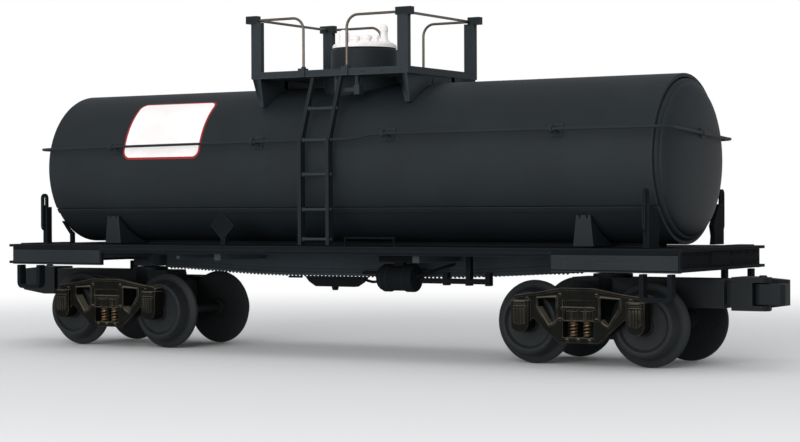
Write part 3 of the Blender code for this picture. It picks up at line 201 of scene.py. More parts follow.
# Ladders: foot, bend and top heights, distance out below and above, half depths below and above
LADDER_X = mm(-0.5)
LADDER_HALF_WIDTH = mm(5.2)
LADDER_WIDTH = mm(1.15)
LADDER_Z = mm((35.13, 68.03, 88.0))
LADDER_Y = mm((28.5, 21.4))
LADDER_DEPTHS = mm((1.35, 0.75))
RUNGS_Z = mm((37.0, 46.3, 57.3, 68.0, 78.0))
RUNG_RADIUS = mm(0.5)
# Collars where the rungs meet the stringers: radius, and shares of a stringer's width they lie in and are wide
RUNG_COLLAR_RADIUS = mm(0.75)
RUNG_INSET = 0.8
RUNG_COLLAR_WIDTH = 0.7

# Handrail and its stanchions
RAIL_Y = mm(28.5)
RAIL_END_X = mm(118.0)
RAIL_NEAR_Z, RAIL_LADDER_Z, RAIL_FAR_Z = mm((69.43, 68.03, 67.13))
# Along the near side: where the rail starts, where its climb starts and ends; near and far corner; far end
RAIL_STEP_X = mm((5.5, 10.0, 24.0))
RAIL_CORNERS = mm((5.5, 11.0))
RAIL_FAR_STEP_X = mm(6.5)
# Steps along the rail's climb, its near corner and its far one
RAIL_STEPS = (6, 12, 16)
STANCHIONS_X = mm((24.5, 82.0))
STANCHION_RADIUS = mm(0.56)
SLEEVE_RADIUS = mm(0.72)
SLEEVE_HALF = mm(1.1)
EYE_RADIUS = mm(1.2)
EYE_HALF = mm(0.45)
EYE_SIDES = 20
# Plate that a stanchion stands on: x, depth and height from the stanchion's foot, and its bolts
BASE_PLATE = mm(((-1.5, 1.5), (-0.5, 0.35), (-2.3, 1.9)))
BASE_BOLTS = mm(((-0.9, 1.1), (0.9, 1.1), (0.0, -1.5)))
# Clamp on the tank's head: its size, half the sleeve in front of it and how far that leans
HEAD_CLAMP = mm((3.0, 1.6, 0.05))

# Deck, end sills and side panels
DECK_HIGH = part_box("deck")[1]
DECK_TOP_Z = DECK_HIGH.z
DECK_HALF_Y = mm(32.5)
DECK_EDGE = mm(0.15)
# Plates on the deck's sides at both ends: x, height and how far they stand proud
SIDE_PLATE = mm((83.9, (123.3, 121.9), (28.75, 32.95), 0.3))
SIDE_FOOT = mm((28.05, 28.45))
# Dark pad between the deck and the tank's belly, filling the gap there as painted shade
SHADE_PAD = mm(((-104.0, 104.0), (-4.0, 4.0), (34.6, 36.0)))
# Rivets and the strip on the side plates: x and z
PANEL_RIVETS = mm(((86.9, 88.5), (30.1, 31.9)))
PANEL_STRIP = mm(((98.0, 112.6), (29.6, 30.6)))
END_RIVETS_Y = mm((-28.0, -22.0, -16.0, -10.0, 10.0, 16.0, 22.0, 28.0))
END_RIVETS_Z = mm((30.4, 32.8))
# Plate on the end sill's web: y and z; the web's distance in from the deck's end; the plate's rise
END_PLATE = mm(((-6.4, 6.4), (29.6, 33.6)))
END_WEB_INSET = mm(1.7)
END_PLATE_RISE = mm(0.4)
# Low bar on the deck beside the ladder: ends along x, y, z
GRAB_BAR = mm(((5.6, 23.7), -21.0, 37.3))
GRAB_RADIUS = mm(0.35)
# Low step plate on the deck's end: x and y
END_STEP = mm(((117.0, 122.0), (6.0, 29.0)))
END_STEP_RISE = mm(0.35)

# Centre sill
SILL_EDGE_LINE = mm(((0.0, 24.8), (24.0, 24.8), (39.1, 25.1), (50.2, 25.6), (69.0, 26.6), (77.5, 26.7)))
SILL_WEB_Y = mm(4.6)
SILL_RIVET_Y = mm(4.9)
SILL_PITCH = mm(1.45)
SILL_RIVET = mm(0.45)
SILL_REACH = mm(76.5)
# Low bead along the sill's web, over its lower edge
SILL_BEAD = mm((1.9, 0.35))
CROSS_BAR = mm(((-53.1, -51.9), (-31.0, -4.0), (30.4, 31.4)))

# Brake gear
RESERVOIR_PLACE = mm((-15.0, 24.8))
# Reservoir outline: radius, x
RESERVOIR_LINE = mm((
    (0, 15.2), (2.6, 15.2), (3.4, 15.45), (3.8, 15.9), (4.0, 16.6), (4.0, 16.9), (4.35, 17.0), (4.35, 19.1),
    (4.0, 19.2), (4.0, 25.0), (4.35, 25.1), (4.35, 27.6), (4.1, 28.1), (3.4, 28.3), (0, 28.3)))
RESERVOIR_STEPS = 48
RESERVOIR_HANGER = mm(((20.5, 24.0), (-16.0, -14.0), (26.0, 33.6)))
RESERVOIR_CRADLE = mm(((15.9, 28.9), (-17.6, -12.4), (29.8, 32.4)))
# Drain plugs: x, then radius, foot and top under the reservoir's middle line
RESERVOIR_DRAINS_X = mm((17.8, 26.5))
RESERVOIR_DRAIN = mm((0.6, 4.3, 3.6))
PIPE_RADIUS = mm(0.45)
PIPES = mm((
    ((15.4, -15.0, 26.2), (11.0, -14.6, 26.4), (6.0, -9.0, 26.0), (2.0, -4.6, 25.8)),
    ((15.4, -15.0, 23.6), (12.0, -14.8, 23.4), (7.0, -10.0, 23.6), (3.0, -4.6, 23.8)),
    ((28.2, -15.0, 25.2), (31.0, -12.0, 26.6), (34.0, -7.0, 28.2), (36.0, -4.4, 29.0))))
VALVE_PLATE = mm(((-26.3, -21.5), (-5.9, -4.4), (23.9, 24.5)))

# Trucks, from the truck's centre, for the side frame at -Y
TRUCK_X = mm(88.2)
AXLE_X = mm(18.6)
FRAME_FACE_Y = mm(24.0)
# A window's outline, x and z, and the rim round it
WINDOW_LINE = mm(((7.0, 20.5), (13.3, 20.1), (13.3, 17.5), (12.2, 15.6), (9.6, 12.0), (8.0, 12.7), (7.0, 14.0)))
WINDOW_RIM = mm(0.34)
LEDGE = mm(((-5.4, 5.4), (-24.35, -23.0), (16.9, 17.5)))
# Ribs over the spring pocket: x, then width, y and z
RIBS_X = mm((-4.6, -2.2, 0.0, 2.2, 4.6))
RIB = mm((0.55, -24.15, -22.9, 13.8, 16.7))
JOURNAL_FACE_Y = mm(25.7)
# A journal lid's ribs (x, then width, how proud, z), hinge and bolts
LID_RIBS_X = mm((-1.5, -0.5, 0.5, 1.5))
LID_RIB = mm((0.32, 0.3, 12.6, 17.0))
LID_HINGE = mm(((-1.7, 1.7), (-25.9, -24.6), (18.2, 19.0)))
LID_BOLTS = mm(((-1.9, 19.9), (1.9, 19.9)))
FRAME_BOLTS = mm(((-5.9, 21.2), (5.9, 21.2), (-5.9, 14.0), (5.9, 14.0), (0.0, 8.0), (-3.6, 7.9), (3.6, 7.9)))
FRAME_BOLT = mm(0.45)
# Coil springs in the pocket: x, y, coil radius, wire radius, turns
SPRINGS = ((*mm((-2.2, -22.25, 1.05, 0.27)), 5), (*mm((2.2, -22.25, 1.05, 0.27)), 5))
SPRING_Z = mm((8.5, 13.4))
SPRING_STEPS = 14
# Half a wheelset from its middle outwards: radius, y
WHEEL_LINE = mm((
    (1.5, 0.01), (1.5, 12.9), (2.7, 13.1), (2.9, 14.2), (8.8, 14.25), (9.2, 14.0), (11.9, 14.0), (12.25, 14.12),
    (12.45, 14.4), (12.5, 14.75), (12.4, 15.1), (12.05, 15.4), (11.2, 15.6), (10.5, 15.85), (10.15, 16.3),
    (10.05, 16.8), (9.3, 19.5), (9.2, 19.75), (8.95, 19.95), (8.6, 20.0), (8.1, 20.0), (7.85, 19.9), (7.6, 19.5),
    (7.3, 18.95), (6.9, 18.7), (3.5, 18.7), (3.15, 18.9), (3.0, 19.3), (3.0, 19.7), (2.85, 19.85), (1.7, 19.85),
    (1.1, 20.0), (1.1, 22.2), (0.95, 22.4), (0, 22.4)))
WHEEL_STEPS = 80
TRUCK_EDGE = mm(0.25)
FRAME_EDGE = mm(0.15)

# Bare panel on the tank's near side: x, angles above the axis in degrees, corner, rise
PANEL_X = mm((-80.0, -48.0))
PANEL_ANGLES = (5.5, 57.0)
PANEL_CORNER = mm(3.0)
PANEL_BORDER = mm(0.7)
PANEL_RISES = mm((0.04, 0.08))
PANEL_ROWS = 40

# Finishes: the shader's specular level on paint and on dull things, the noise's own roughness, the noise values
# that count as 0 and 1, and the likeness of a bevelled normal and the lean of a normal that do
PAINT_GLOSS = 0.13
DULL_GLOSS = 0.06
NOISE_ROUGHNESS = 0.55
NOISE_SPAN = (0.3, 0.7)
PATCH_SPAN = (0.35, 0.7)
EDGE_SPAN = (0.01, 0.14)
UPWARD_SPAN = (0.05, 0.6)
# Lumps of noise in a metre, on paint, castings, turned wheels and wire
CLOUDS, CAST_GRAIN, CAST_PATCHES, TURNED_MARKS, WIRE_STREAKS = 55.0, 2600.0, 260.0, 900.0, 1500.0
# Width of the lightened edges on paint, rubbed wear and a painted edge highlight, and of the rubbed edges on castings
PAINT_WEAR_AND_HIGHLIGHT = 0.0005
CAST_WEAR = 0.00035
# Dust on castings: colour on screen, how much lies on what faces up (also a painted top light), and on edges at least
# and in patches
DUST_AND_TOP_LIGHT = (112, 106, 92)
DUST_AND_TOP_LIGHT_COVER = 0.85
EDGE_DUST, PATCH_DUST = 0.16, 0.5
# Satin finishes: colour, share it is lightened by, roughness, grains in a metre, share at edges (rubbed wear and
# painted highlight), gloss
SATINS = {
    "tank_paint": ("tank", 1.0, 0.55, 2600.0, 1.9, PAINT_GLOSS),
    "frame_plastic": ("frame", 1.15, 0.85, 3400.0, 3.0, DULL_GLOSS),
    # The sill's colour is the frame's lightened sixfold: painted fill light for the shade under the deck
    "sill": ("frame", 6.0, 0.7, 900.0, 1.3, DULL_GLOSS),
    # The walkway's colour is the tank's lightened: painted fill light for the shade under the platform
    "walkway": ("tank", 1.6, 0.6, 2600.0, 1.6, PAINT_GLOSS),
    "side_plate": ("frame", 2.7, 0.6, 2600.0, 1.6, PAINT_GLOSS),
    "ladder": ("frame", 1.9, 0.6, 3400.0, 2.4, PAINT_GLOSS),
    "rung": ("tank", 1.7, 0.5, 3400.0, 1.5, PAINT_GLOSS),
    "truck_metal": ("frame", 1.5, 0.52, 3800.0, 2.2, PAINT_GLOSS),
    "white_paint": ("white", 1.0, 0.45, 3000.0, 1.02, PAINT_GLOSS),
    "border": ("border", 1.0, 0.5, 3000.0, 1.1, PAINT_GLOSS),
}

# Stage: the floor's colour and drop, distances where it starts and ends to fade, the surround's colour and strength
WHITE = (1.0, 1.0, 1.0)
FLOOR_COLOUR = (0.86, 0.86, 0.86)
FLOOR_DROP = 0.0001
FLOOR_FADE = (0.16, 0.5)
SURROUND = ((0.95, 0.97, 1.0), 0.6)
# Lamps: name, place, size, power and colour, and the point they aim at
LAMPS = (
    ("key", (0.25, -1.1, 0.45), 0.9, 6.4, (1.0, 0.99, 0.97)),
    ("low", (0.0, -1.1, 0.03), 0.7, 5.6, (0.97, 0.99, 1.0)),
    ("top", (0.0, 0.1, 1.3), 1.2, 1.6, WHITE))
LAMP_AIM = (0.0, 0.0, 0.05)


def colour_of(red, green, blue):
    """Linear colour from the red, green and blue a paint shows on screen, each up to 255."""
    return tuple(((c / 255 + 0.055) / 1.055) ** 2.4 if c > 10 else c / 255 / 12.92 for c in (red, green, blue))


def paint_colour(label, description, red, green, blue):
    """A colour property for a finish."""
    return bpy.props.FloatVectorProperty(
        name=label, description=description, subtype="COLOR", size=3, min=0, max=1,
        default=colour_of(red, green, blue))


def angle(label, description, degrees):
    """An angle property."""
    return bpy.props.FloatProperty(
        name=label, description=description, default=math.radians(degrees), subtype="ANGLE")


class TankCarColours(bpy.types.PropertyGroup):
    """Colours of the finishes."""

    tank: paint_colour("Tank paint", "Satin charcoal of the tank, dome and walkway", 32, 37, 40)
    frame: paint_colour("Frame plastic", "Near-black of the deck, sills and ladders", 17, 20, 22)
    iron: paint_colour("Cast iron", "Brown-black of the truck side frames", 14, 14, 12)
    wheel: paint_colour("Wheel steel", "Blackened steel of the wheels", 33, 36, 37)
    wire: paint_colour("Handrail wire", "Bare wire round the walkway", 98, 90, 84)
    white: paint_colour("White fittings", "Painted dome cover and its valves", 240, 235, 233)
    spring: paint_colour("Spring copper", "Coppery brown of the coil springs", 118, 94, 66)
    border: paint_colour("Panel border", "Thin border of the bare panel", 150, 40, 42)


class TankCarStage(bpy.types.PropertyGroup):
    """Camera, floor and lights."""

    focal: bpy.props.FloatProperty(
        name="Focal length", description="Camera lens on a 36 mm sensor", default=88.61, min=1, unit="CAMERA")
    yaw: angle("Camera yaw", "Turn of the view to the left of +Y", 31.243)
    pitch: angle("Camera pitch", "Tilt of the view above the horizon", -0.375)
    roll: angle("Camera roll", "Turn of the view about its own line", -0.223)
    place: bpy.props.FloatVectorProperty(
        name="Camera place", description="Position of the lens", default=(0.341046, -0.540509, 0.04661),
        subtype="TRANSLATION", unit="LENGTH")
    floor_radius: bpy.props.FloatProperty(
        name="Floor radius", description="Half size of the floor disc", default=6.0, min=0, subtype="DISTANCE",
        unit="LENGTH")


class Socket:
    """A value in a node tree. Python operators on it add Math nodes."""

    def __init__(self, nodes, link):
        self.nodes = nodes
        self.link = link

    def math(self, operation, first, second, clamp=False):
        """A Math node's result from two values."""
        return self.nodes.node(
            "ShaderNodeMath", {"operation": operation, "use_clamp": clamp}, {0: first, 1: second})

    def __add__(self, other):
        return self.math("ADD", self, other)

    def __radd__(self, other):
        return self.math("ADD", other, self)

    def __sub__(self, other):
        return self.math("SUBTRACT", self, other)

    def __rsub__(self, other):
        return self.math("SUBTRACT", other, self)

    def __mul__(self, other):
        return self.math("MULTIPLY", self, other)

    def __rmul__(self, other):
        return self.math("MULTIPLY", other, self)

    def between(self, low, high):
        """0 at low, 1 at high, and smooth in between."""
        return self.nodes.node(
            "ShaderNodeMapRange", {"interpolation_type": "SMOOTHSTEP"}, {0: self, 1: low, 2: high})

    def about(self, middle, span):
        """A noise as a value that varies about a middle, over a span."""
        return middle + (self - 0.5) * span


class Nodes:
    """A node tree and the method that adds a node to it."""

    def __init__(self, tree):
        self.tree = tree

    def node(self, kind, settings=None, inputs=None, output=0):
        """Adds a node, sets it up, joins or fills its inputs, and gives back one of its outputs."""
        made = self.tree.nodes.new(kind)
        for key, value in (settings or {}).items():
            setattr(made, key, value)
        for key, value in (inputs or {}).items():
            self.feed(made.inputs[key], value)
        return Socket(self, made.outputs[output])

    def feed(self, target, value):
        """Joins a socket to an input, or sets the input's own value."""
        if isinstance(value, Socket):
            self.tree.links.new(value.link, target)
        elif target.type == "RGBA" and len(value) == 3:
            target.default_value = (*value, 1.0)
        else:
            target.default_value = value


class Finish(Nodes):
    """A material with its shader, and the values that its shader takes."""

    def __init__(self, name):
        self.material = bpy.data.materials.new(name)
        self.material.use_nodes = True
        super().__init__(self.material.node_tree)
        self.shader = self.tree.nodes["Principled BSDF"]

    def set(self, **inputs):
        """Feeds the shader, with each input's name in lower case and joined by underscores."""
        names = {key.name.lower().replace(" ", "_"): key for key in self.shader.inputs}
        for key, value in inputs.items():
            self.feed(names[key], value)

    def mix(self, factor, first, second):
        """A colour between two colours."""
        return self.node("ShaderNodeMix", {"data_type": "RGBA"}, {0: factor, 6: first, 7: second}, output=2)

    def varied(self, noise, colour, low, high, span=NOISE_SPAN):
        """A colour that a noise varies between two shares of itself."""
        return self.mix(noise.between(*span), tinted(colour, low), tinted(colour, high))

    def place(self):
        """The point in the piece's own frame, which is the car's frame at rest."""
        return self.node("ShaderNodeTexCoord", output=3)

    def noise(self, scale, detail, stretch=(1.0, 1.0, 1.0)):
        """Cloudy noise with about that many lumps in a metre."""
        stretched = self.node("ShaderNodeMapping", {"vector_type": "POINT"}, {0: self.place(), 3: stretch})
        return self.node("ShaderNodeTexNoise", None, {0: stretched, 2: scale, 3: detail, 4: NOISE_ROUGHNESS})

    def bump(self, height, distance, strength):
        """A normal from a height between 0 and 1 and its depth in metres."""
        return self.node("ShaderNodeBump", None, {"Strength": strength, "Distance": distance, "Height": height})

    def worn_edges(self, radius):
        """1 along outer edges about that wide, and 0 on the flats."""
        rounded = self.node("ShaderNodeBevel", {"samples": 6}, {"Radius": radius})
        flat = self.node("ShaderNodeNewGeometry", output=1)
        likeness = self.node("ShaderNodeVectorMath", {"operation": "DOT_PRODUCT"}, {0: rounded, 1: flat}, output=1)
        return (1.0 - likeness).between(*EDGE_SPAN)

    def facing_up(self):
        """0 where a surface faces level or down, and 1 where it faces up."""
        direction = self.node("ShaderNodeNewGeometry", output=1)
        return self.node("ShaderNodeSeparateXYZ", None, {0: direction}, output=2).between(*UPWARD_SPAN)


def tinted(colour, share):
    """A colour made lighter or darker by a share of itself."""
    return tuple(min(1.0, c * share) for c in colour)


def satin_paint(name, colour, roughness, grain, edge_wear_and_highlight, gloss):
    """Sprayed satin paint on plastic: soft clouding, fine orange peel and lighter edges, partly rubbed and partly a
    painted highlight.
    """
    finish = Finish(name)
    clouds = finish.noise(CLOUDS, 3.0)
    fine = finish.noise(grain, 2.0)
    body = finish.varied(clouds, colour, 0.93, 1.07)
    # Outer edges are lightened: rubbed paint, and a painted highlight along them
    finish.set(
        base_color=finish.mix(finish.worn_edges(PAINT_WEAR_AND_HIGHLIGHT), body, tinted(colour, edge_wear_and_highlight)),
        roughness=fine.about(roughness, 0.12),
        normal=finish.bump(fine, 0.00004, 0.35),
        specular_ior_level=gloss)
    return finish.material


def cast_metal(name, colour, dust_and_top_light):
    """Blackened casting: coarse grain, patches, lighter rubbed edges, and a dust colour over what faces up that is
    also a painted top light.
    """
    finish = Finish(name)
    grain = finish.noise(CAST_GRAIN, 3.0)
    patches = finish.noise(CAST_PATCHES, 2.0)
    body = finish.varied(patches, colour, 0.75, 1.25, PATCH_SPAN)
    edges = finish.worn_edges(CAST_WEAR) * (EDGE_DUST + PATCH_DUST * patches.between(*NOISE_SPAN))
    # What faces up takes the dust colour, which is dust and also a painted top light
    dusted_and_top_lit = finish.mix(finish.facing_up() * DUST_AND_TOP_LIGHT_COVER, body, dust_and_top_light)
    finish.set(
        base_color=finish.mix(edges, dusted_and_top_lit, dust_and_top_light),
        roughness=grain.about(0.5, 0.25),
        metallic=edges * 0.4,
        normal=finish.bump(grain, 0.00006, 0.5),
        specular_ior_level=DULL_GLOSS)
    return finish.material


def wheel_metal(name, colour):
    """Blackened steel with faint turning marks."""
    finish = Finish(name)
    marks = finish.noise(TURNED_MARKS, 2.0, (1.0, 0.15, 1.0))
    finish.set(
        base_color=finish.varied(marks, colour, 0.9, 1.1),
        roughness=marks.about(0.55, 0.2),
        normal=finish.bump(marks, 0.00002, 0.3),
        specular_ior_level=PAINT_GLOSS)
    return finish.material


def drawn_wire(name, colour):
    """Drawn wire with a dull sheen."""
    finish = Finish(name)
    streaks = finish.noise(WIRE_STREAKS, 2.0)
    finish.set(
        base_color=finish.varied(streaks, colour, 0.85, 1.12), roughness=streaks.about(0.38, 0.2), metallic=0.85)
    return finish.material


def make_finishes():
    """Every finish, by the record's slot name or by the name that a piece asks for."""
    colours = bpy.context.scene.tank_car_colours
    made = {
        slot: satin_paint(slot + "_finish", tinted(getattr(colours, colour), share), *values)
        for slot, (colour, share, *values) in SATINS.items()}
    made["sideframe_metal"] = cast_metal("sideframe_metal_finish", colours.iron, colour_of(*DUST_AND_TOP_LIGHT))
    made["wheel_steel"] = wheel_metal("wheel_steel_finish", colours.wheel)
    for slot, colour in (("rail_metal", colours.wire), ("spring", colours.spring)):
        made[slot] = drawn_wire(slot + "_finish", colour)
    return made


def along(axis, u, v, w):
    """A point from two numbers across an axis and one along it."""
    return {"X": (w, u, v), "Y": (u, w, v), "Z": (u, v, w)}[axis]


def arc(centre, radius, start, end, steps):
    """Points round an arc, in degrees, with both its ends."""
    turns = [math.radians(start + (end - start) * i / steps) for i in range(steps + 1)]
    return [(centre[0] + radius * math.cos(t), centre[1] + radius * math.sin(t)) for t in turns]


def around(middle, width):
    """The two ends of a width about its middle."""
    return middle - width / 2, middle + width / 2


def outward(mesh):
    """Turns a closed shape's faces outward."""
    bmesh.ops.recalc_face_normals(mesh, faces=mesh.faces)
    return mesh


def rounded(mesh, width, segments=2, chosen=None):
    """Rounds a shape's sharp outer edges, or those of them that are chosen."""
    sharp = [edge for edge in mesh.edges if len(edge.link_faces) == 2 and edge.is_convex
             and edge.calc_face_angle() > ROUND_ANGLE and (chosen is None or chosen(edge))]
    bmesh.ops.bevel(
        mesh, geom=sharp, offset=width, segments=segments, profile=0.5, affect="EDGES", clamp_overlap=True)
    return mesh


def prism(outline, low, high, axis, edge=0.0):
    """An outline pushed along an axis."""
    mesh = bmesh.new()
    floor = [mesh.verts.new(along(axis, u, v, low)) for u, v in outline]
    roof = [mesh.verts.new(along(axis, u, v, high)) for u, v in outline]
    mesh.faces.new(floor)
    mesh.faces.new(roof)
    for i, corner in enumerate(floor):
        j = (i + 1) % len(floor)
        mesh.faces.new((corner, floor[j], roof[j], roof[i]))
    outward(mesh)
    return rounded(mesh, edge) if edge else mesh


def block(x, y, z, edge=0.0):
    """A block between pairs of limits."""
    return prism(((x[0], y[0]), (x[1], y[0]), (x[1], y[1]), (x[0], y[1])), *z, "Z", edge)


def strip(outer, inner, low, high):
    """A bent wall between two rows of as many points, pushed along the car."""
    mesh = bmesh.new()
    rows = [[mesh.verts.new(along("X", u, v, w)) for u, v in row] for w in (low, high) for row in (outer, inner)]
    ring = (rows[0], rows[2], rows[3], rows[1])
    for i in range(len(outer) - 1):
        for first, second in zip(ring, ring[1:] + ring[:1]):
            mesh.faces.new((first[i], first[i + 1], second[i + 1], second[i]))
    for i in (0, -1):
        mesh.faces.new([row[i] for row in ring])
    return outward(mesh)


def stitched(mesh, rings):
    """Faces from ring to ring, and over the first and the last one unless they are points."""
    for below, above in zip(rings, rings[1:]):
        for k in range(len(below)):
            m = (k + 1) % len(below)
            mesh.faces.new(list(dict.fromkeys((below[k], below[m], above[m], above[k]))))
    for ring in (rings[0], rings[-1]):
        if ring[0] != ring[1]:
            mesh.faces.new(ring)
    return outward(mesh)


def lathe(profile, axis, centre, sides):
    """A profile of radius and place along an axis, turned round it; both its ends lie on the axis."""
    mesh = bmesh.new()
    rings = []
    turns = [math.tau * k / sides for k in range(sides)]
    for radius, w in profile:
        if radius == 0:
            rings.append([mesh.verts.new(along(axis, *centre, w))] * sides)
            continue
        rings.append([
            mesh.verts.new(along(axis, centre[0] + radius * math.cos(t), centre[1] + radius * math.sin(t), w))
            for t in turns])
    return stitched(mesh, rings)


def drum(radius, low, high, axis, centre, sides=ROUND_SIDES, edge=0.0):
    """A round bar or disc, with its rims cut back by an edge."""
    edge = min(edge, radius / 2, abs(high - low) / 2)
    step = math.copysign(edge, high - low)
    profile = [(0, low), (radius - edge, low), (radius, low + step), (radius, high - step), (radius - edge, high)]
    return lathe([profile[0], *(profile[1:] if edge else profile[2:4]), (0, high)], axis, centre, sides)


def rod(points, radius, sides=WIRE_SIDES):
    """A round wire along a row of points, flat at both ends."""
    mesh = bmesh.new()
    points = [Vector(point) for point in points]
    steps = [(b - a).normalized() for a, b in zip(points, points[1:])]
    side = steps[0].orthogonal().normalized()
    turns = [math.tau * k / sides for k in range(sides)]
    rings = []
    for i, point in enumerate(points):
        tangent = (steps[max(i - 1, 0)] + steps[min(i, len(steps) - 1)]).normalized()
        side = (side - tangent * side.dot(tangent)).normalized()
        other = tangent.cross(side)
        rings.append([mesh.verts.new(point + (side * math.cos(t) + other * math.sin(t)) * radius) for t in turns])
    return stitched(mesh, rings)


def stud(place, axis, radius, height):
    """A round-headed rivet that stands out of a face along an axis, or against it if its height is negative."""
    spot = {"X": (1, 2, 0), "Y": (0, 2, 1), "Z": (0, 1, 2)}[axis]
    u, v, w = (place[i] for i in spot)
    profile = [(share * radius, w + rise * height) for share, rise in STUD_PROFILE]
    return lathe(profile, axis, (u, v), FINE_SIDES)


def placed(shape, matrix):
    """A shape moved by a matrix."""
    bmesh.ops.transform(shape, matrix=matrix, verts=shape.verts)
    if matrix.determinant() < 0:
        bmesh.ops.reverse_faces(shape, faces=shape.faces)
    return shape


def copies(shapes, *matrices):
    """The shapes once for each matrix."""
    made = [placed(shape.copy(), matrix) for matrix in matrices for shape in shapes]
    for shape in shapes:
        shape.free()
    return made


def shown(name, data):
    """A new object in the scene."""
    made = bpy.data.objects.new(name, data)
    bpy.context.collection.objects.link(made)
    return made


def piece(name, shapes, slot, body=CARBODY, replaces=(), finish=None):
    """Joins shapes into one piece that rides on a body, takes a slot's finish and stands for CAD nodes."""
    mesh = bpy.data.meshes.new(name)
    whole = bmesh.new()
    for shape in shapes:
        shape.to_mesh(mesh)
        whole.from_mesh(mesh)
        shape.free()
    whole.to_mesh(mesh)
    whole.free()
    mesh.shade_smooth()
    mesh.set_sharp_from_angle(angle=SMOOTH_ANGLE)
    mesh.materials.append(bpy.data.materials[(finish or slot) + "_finish"])
    made = shown(name, mesh)
    made.modifiers.new("even_shading", "WEIGHTED_NORMAL").keep_sharp = True
    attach(made, body)
    if replaces:
        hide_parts(*replaces)
    return made


def moulded(node, width, chosen=None, cut=0.0):
    """A node's own solid as a shape, with its flats whole, chosen corners cut back and sharp edges rounded."""
    shape = bmesh.new()
    shape.from_mesh(frame["nodes"][node].data)
    bmesh.ops.remove_doubles(shape, verts=shape.verts, dist=WELD)
    bmesh.ops.dissolve_limit(shape, angle_limit=FLAT_ANGLE, verts=shape.verts, edges=shape.edges)
    if chosen:
        rounded(shape, cut, 1, chosen)
    return rounded(shape, width)


def moulded_piece(node, width, extra=(), finish=None):
    """A node's moulded shape and any extra shapes as the piece that stands for it."""
    slot = frame["nodes"][node].data.materials[0].name.split(".")[0].removesuffix("_finish")
    shapes = [moulded(node, width), *extra]
    return piece(node + "_shape", shapes, slot, frame["nodes"][node]["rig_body"], [node], finish)


class TANKCAR_OT_finishes(bpy.types.Operator):
    """Gives every node of the part its finish"""

    bl_idname = "tankcar.finishes"
    bl_label = "Finishes"

    def execute(self, context):
        finishes = make_finishes()
        for node in frame["nodes"].values():
            slot = node.material_slots[0].material.name.split(".")[0]
            node.material_slots[0].material = finishes[slot]
        return {"FINISHED"}


def tank_height(y):
    """The height of the tank's back at a place across it."""
    return TANK_AXIS_Z + math.sqrt(TANK_RADIUS ** 2 - y ** 2)


def tank_half_width(z):
    """How far the tank's skin stands from the car's middle at a height."""
    return math.sqrt(TANK_RADIUS ** 2 - (z - TANK_AXIS_Z) ** 2)


class TANKCAR_OT_mouldings(bpy.types.Operator):
    """Rounds the edges of the moulded and cast pieces that keep their shape"""

    bl_idname = "tankcar.mouldings"
    bl_label = "Mouldings"

    def execute(self, context):
        for start, width in MOULDED:
            for node in sorted(frame["nodes"]):
                if node.startswith(start):
                    moulded_piece(node, width)
        return {"FINISHED"}


class TANKCAR_OT_tank(bpy.types.Operator):
    """Builds the smooth tank shells with their seam band, and the dished heads"""

    bl_idname = "tankcar.tank"
    bl_label = "Tank"

    def execute(self, context):
        centre, reach = (0.0, TANK_AXIS_Z), TANK_HALF_LENGTH
        inner = TANK_RADIUS - TANK_WALL
        upper = [arc(centre, radius, -SEAM_ANGLE, 180 + SEAM_ANGLE, TANK_STEPS) for radius in (TANK_RADIUS, inner)]
        barrel = rounded(strip(*upper, -reach, reach), TANK_EDGE)
        piece("tank_upper_skin", [barrel], "tank_paint", replaces=["tank_upper_shell"])

        top = SEAM_ANGLE + math.degrees(SEAT_GAP / TANK_RADIUS)
        band = SEAM_ANGLE + SEAM_BAND_ANGLE
        rows = [[], []]
        spans = (
            (-180 + top, -180 + band, 0.0, SEAM_STEPS), (-180 + band, -band, BELLY_INSET, TANK_STEPS // 2),
            (-band, -top, 0.0, SEAM_STEPS))
        for start, end, inset, steps in spans:
            rows[0] += arc(centre, TANK_RADIUS - inset, start, end, steps)
            rows[1] += arc(centre, inner - inset, start, end, steps)
        belly = rounded(strip(*rows, -reach, reach), THIN_EDGE)
        piece("tank_lower_skin", [belly], "tank_paint", replaces=["tank_lower_shell"])

        rim = TANK_RADIUS - TANK_WALL - SEAT_GAP
        flat = rim - HEAD_EDGE
        seat = TANK_HALF_LENGTH - HEAD_DEPTH
        profile = [(0, seat), (rim, seat)]
        profile += [(flat + u, reach + v) for u, v in arc((0, 0), HEAD_EDGE, 0, 90, HEAD_EDGE_STEPS)]
        for i in range(1, HEAD_STEPS + 1):
            turn = math.pi / 2 * i / HEAD_STEPS
            radius = 0 if i == HEAD_STEPS else flat * math.cos(turn)
            profile.append((radius, HEAD_CROWN_X - HEAD_BULGE * (1 - math.sin(turn))))
        for name, matrix in (("tank_head_right", Matrix()), ("tank_head_left", SPIN)):
            head = copies([lathe(profile, "X", centre, TANK_STEPS)], matrix)
            piece(name + "_dish", head, "tank_paint", replaces=[name])
        return {"FINISHED"}


